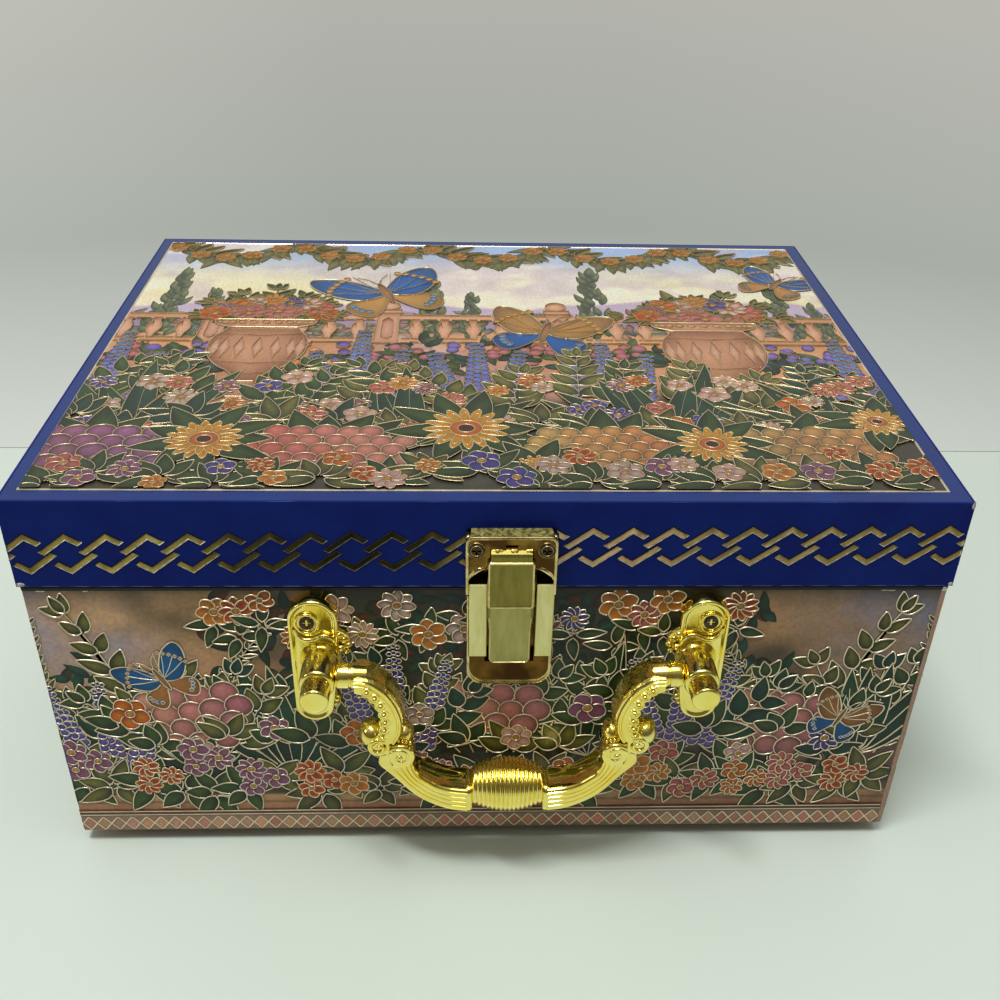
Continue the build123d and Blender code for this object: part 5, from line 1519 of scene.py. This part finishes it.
# ------------------------------------------------------------------ finishes of the CAD nodes
NODE_MAT = {
    "case_print_wrap": "printbase", "lid_print_panel": "printbase", "lid_wrap": "blue", "underside_paper": "dark",
    "case_bottom_panel": "board", "case_front_panel": "board", "case_back_panel": "board", "case_left_panel": "board", "case_right_panel": "board",
    "lid_top_panel": "board", "lid_front_rail": "board", "lid_back_rail": "board", "lid_left_rail": "board", "lid_right_rail": "board",
    "case_floor_lining": "lining", "case_wall_lining": "lining", "lid_top_lining": "lining", "lid_wall_lining": "lining",
    "jar_divider_long": "divider", "jar_divider_left": "divider", "jar_divider_right": "divider",
    "foot_screws": "steel", "handle_bolts": "steel", "handle_screws": "darkscrew", "handle_pivot_pins": "gold",
    # the latch plates, lever and hook take the lighter and darker brass copies, partly finish and partly painted
    # reflection
    "latch_lid_plate": "antique", "latch_base_plate": "antiquedark", "latch_lever": "olive", "latch_hook": "olive",
    "latch_hook_pin": "antique", "latch_lever_pins": "antique", "latch_lid_screws": "screw", "latch_base_screws": "screw",
    "handle_bail": "gold", "handle_left_post": "gold", "handle_right_post": "gold",
}
BEVEL = {"lid_wrap": 0.7, "case_print_wrap": 0.3, "front_left_foot": 0.5, "front_right_foot": 0.5, "back_left_foot": 0.5, "back_right_foot": 0.5,
         "jar_divider_long": 0.3, "jar_divider_left": 0.3, "jar_divider_right": 0.3, "latch_base_plate": 0.25, "latch_lid_plate": 0.15,
         "latch_lid_screws": 0.3, "handle_screws": 0.3}
for name, ob in nodes.items():
    key = NODE_MAT.get(name) or ("hinge" if "hinge" in name else "foot" if name.endswith("_foot") else "board")
    ob.data.materials.clear()
    ob.data.materials.append(M[key])
    if name in BEVEL:
        b = ob.modifiers.new("edge", "BEVEL")
        b.width, b.segments, b.limit_method, b.angle_limit = BEVEL[name] * MM, 3, "ANGLE", math.radians(50)
        b.use_clamp_overlap = True
        b.harden_normals = True

# ------------------------------------------------------------------ floor, backdrop, light, camera
def stage_mesh(name, verts, faces, mat_):
    me = bpy.data.meshes.new(name)
    me.from_pydata(verts, [], faces)
    me.materials.append(mat_)
    ob = bpy.data.objects.new(name, me)
    bpy.context.scene.collection.objects.link(ob)
    return ob


fm = plain("pale_table", (0.565, 0.645, 0.595), (0.595, 0.675, 0.625), 0.28, scale=3.0, spec=0.40)
em = plain("table_edge", (0.10, 0.15, 0.12), (0.14, 0.19, 0.15), 0.4, scale=20.0)
stage_mesh("table", [(-2.5, -2.2, 0), (2.5, -2.2, 0), (2.5, 0.183, 0), (-2.5, 0.183, 0)], [(0, 1, 2, 3)], fm)
stage_mesh("table_back_edge", [(-2.5, 0.183, 0), (2.5, 0.183, 0), (2.5, 0.1855, -0.001), (-2.5, 0.1855, -0.001)], [(0, 1, 2, 3)], em)


def area(name, loc, target, size, power, colour=(1, 1, 1), size_y=None):
    li = bpy.data.lights.new(name, "AREA")
    li.shape = "RECTANGLE"
    li.size, li.size_y = size, size_y or size
    li.energy = power
    li.color = colour
    ob = bpy.data.objects.new(name, li)
    bpy.context.scene.collection.objects.link(ob)
    ob.location = loc
    ob.rotation_euler = (Vector(target) - Vector(loc)).to_track_quat("-Z", "Y").to_euler()
    return ob


area("ceiling", (-0.30, -0.50, 1.78), (-0.02, -0.1, 0.0), 0.6, 20, (1.0, 0.99, 0.955), 0.16)
top = area("ceiling_back", (0.0, -0.10, 1.85), (0, -0.10, 0.0), 1.4, 6, (0.98, 1.0, 0.96), 0.5)
top.rotation_euler = (0, 0, 0)
area("ceiling_front", (0.20, -0.62, 1.70), (0, -0.3, 0.0), 1.0, 3.0, (0.98, 1.0, 0.96), 0.5)
area("window_side", (-1.7, -0.5, 0.9), (0, 0, 0.08), 0.5, 2.2, (0.95, 0.98, 1.0))
world = bpy.data.worlds.new("room")
bpy.context.scene.world = world
world.use_nodes = True
wt = world.node_tree
tc, sx = wt.nodes.new("ShaderNodeTexCoord"), wt.nodes.new("ShaderNodeSeparateXYZ")
wt.links.new(tc.outputs["Generated"], sx.inputs[0])
wr = wt.nodes.new("ShaderNodeValToRGB")
wr.color_ramp.elements[0].position, wr.color_ramp.elements[0].color = 0.27, (0.57, 0.60, 0.55, 1)
wr.color_ramp.elements[1].position, wr.color_ramp.elements[1].color = 1.0, (0.50, 0.50, 0.46, 1)
for pos, c in ((0.345, (0.37, 0.40, 0.36, 1)), (0.43, (0.45, 0.45, 0.41, 1)), (0.49, (0.45, 0.45, 0.41, 1)), (0.53, (0.10, 0.085, 0.06, 1)), (0.78, (0.14, 0.125, 0.10, 1))):
    e = wr.color_ramp.elements.new(pos)
    e.color = c
mr = wt.nodes.new("ShaderNodeMapRange")
mr.inputs["From Min"].default_value, mr.inputs["From Max"].default_value = -1.0, 1.0
wt.links.new(sx.outputs["Z"], mr.inputs["Value"])
wt.links.new(mr.outputs[0], wr.inputs[0])


def world_range(src, lo, hi, a, b):
    n = wt.nodes.new("ShaderNodeMapRange")
    for k, v in (("From Min", lo), ("From Max", hi), ("To Min", a), ("To Max", b)):
        n.inputs[k].default_value = v
    wt.links.new(src, n.inputs["Value"])
    return n.outputs[0]


def world_math(op, a, b):
    n = wt.nodes.new("ShaderNodeMath")
    n.operation = op
    wt.links.new(a, n.inputs[0])
    wt.links.new(b, n.inputs[1])
    return n.outputs[0]


# pale wall behind the table, a little lighter toward its left
back = world_math("MULTIPLY", world_range(sx.outputs["Y"], 0.15, 0.5, 0.0, 1.0), world_range(sx.outputs["Z"], -0.02, 0.06, 0.0, 1.0))
wm = wt.nodes.new("ShaderNodeMix")
wm.data_type = "RGBA"
cin = [q for q in wm.inputs if q.type == "RGBA"]
wt.links.new(back, wm.inputs[0])
wt.links.new(wr.outputs[0], cin[0])
cin[1].default_value = (0.50, 0.50, 0.46, 1)
wt.links.new([q for q in wm.outputs if q.type == "RGBA"][0], wt.nodes["Background"].inputs[0])
side = world_math("ADD", world_range(sx.outputs["X"], -0.42, -0.10, 0.20, 0.0), world_range(sx.outputs["X"], 0.12, 0.40, 1.0, 1.06))
wt.links.new(side, wt.nodes["Background"].inputs[1])

cam_d = bpy.data.cameras.new("camera")
cam = bpy.data.objects.new("camera", cam_d)
bpy.context.scene.collection.objects.link(cam)
cam.location = (-0.00848, -0.39606 + S * MM, 0.31489)
cam.rotation_euler = (math.radians(56.286), math.radians(-1.386), math.radians(-2.040))
cam_d.sensor_width, cam_d.lens = 36.0, 41.272
cam_d.shift_x, cam_d.shift_y = -0.0140, 0.0467
cam_d.clip_start, cam_d.clip_end = 0.01, 20
bpy.context.scene.camera = cam
bpy.context.scene.view_settings.view_transform = "Standard"
bpy.context.scene.view_settings.look = "None"
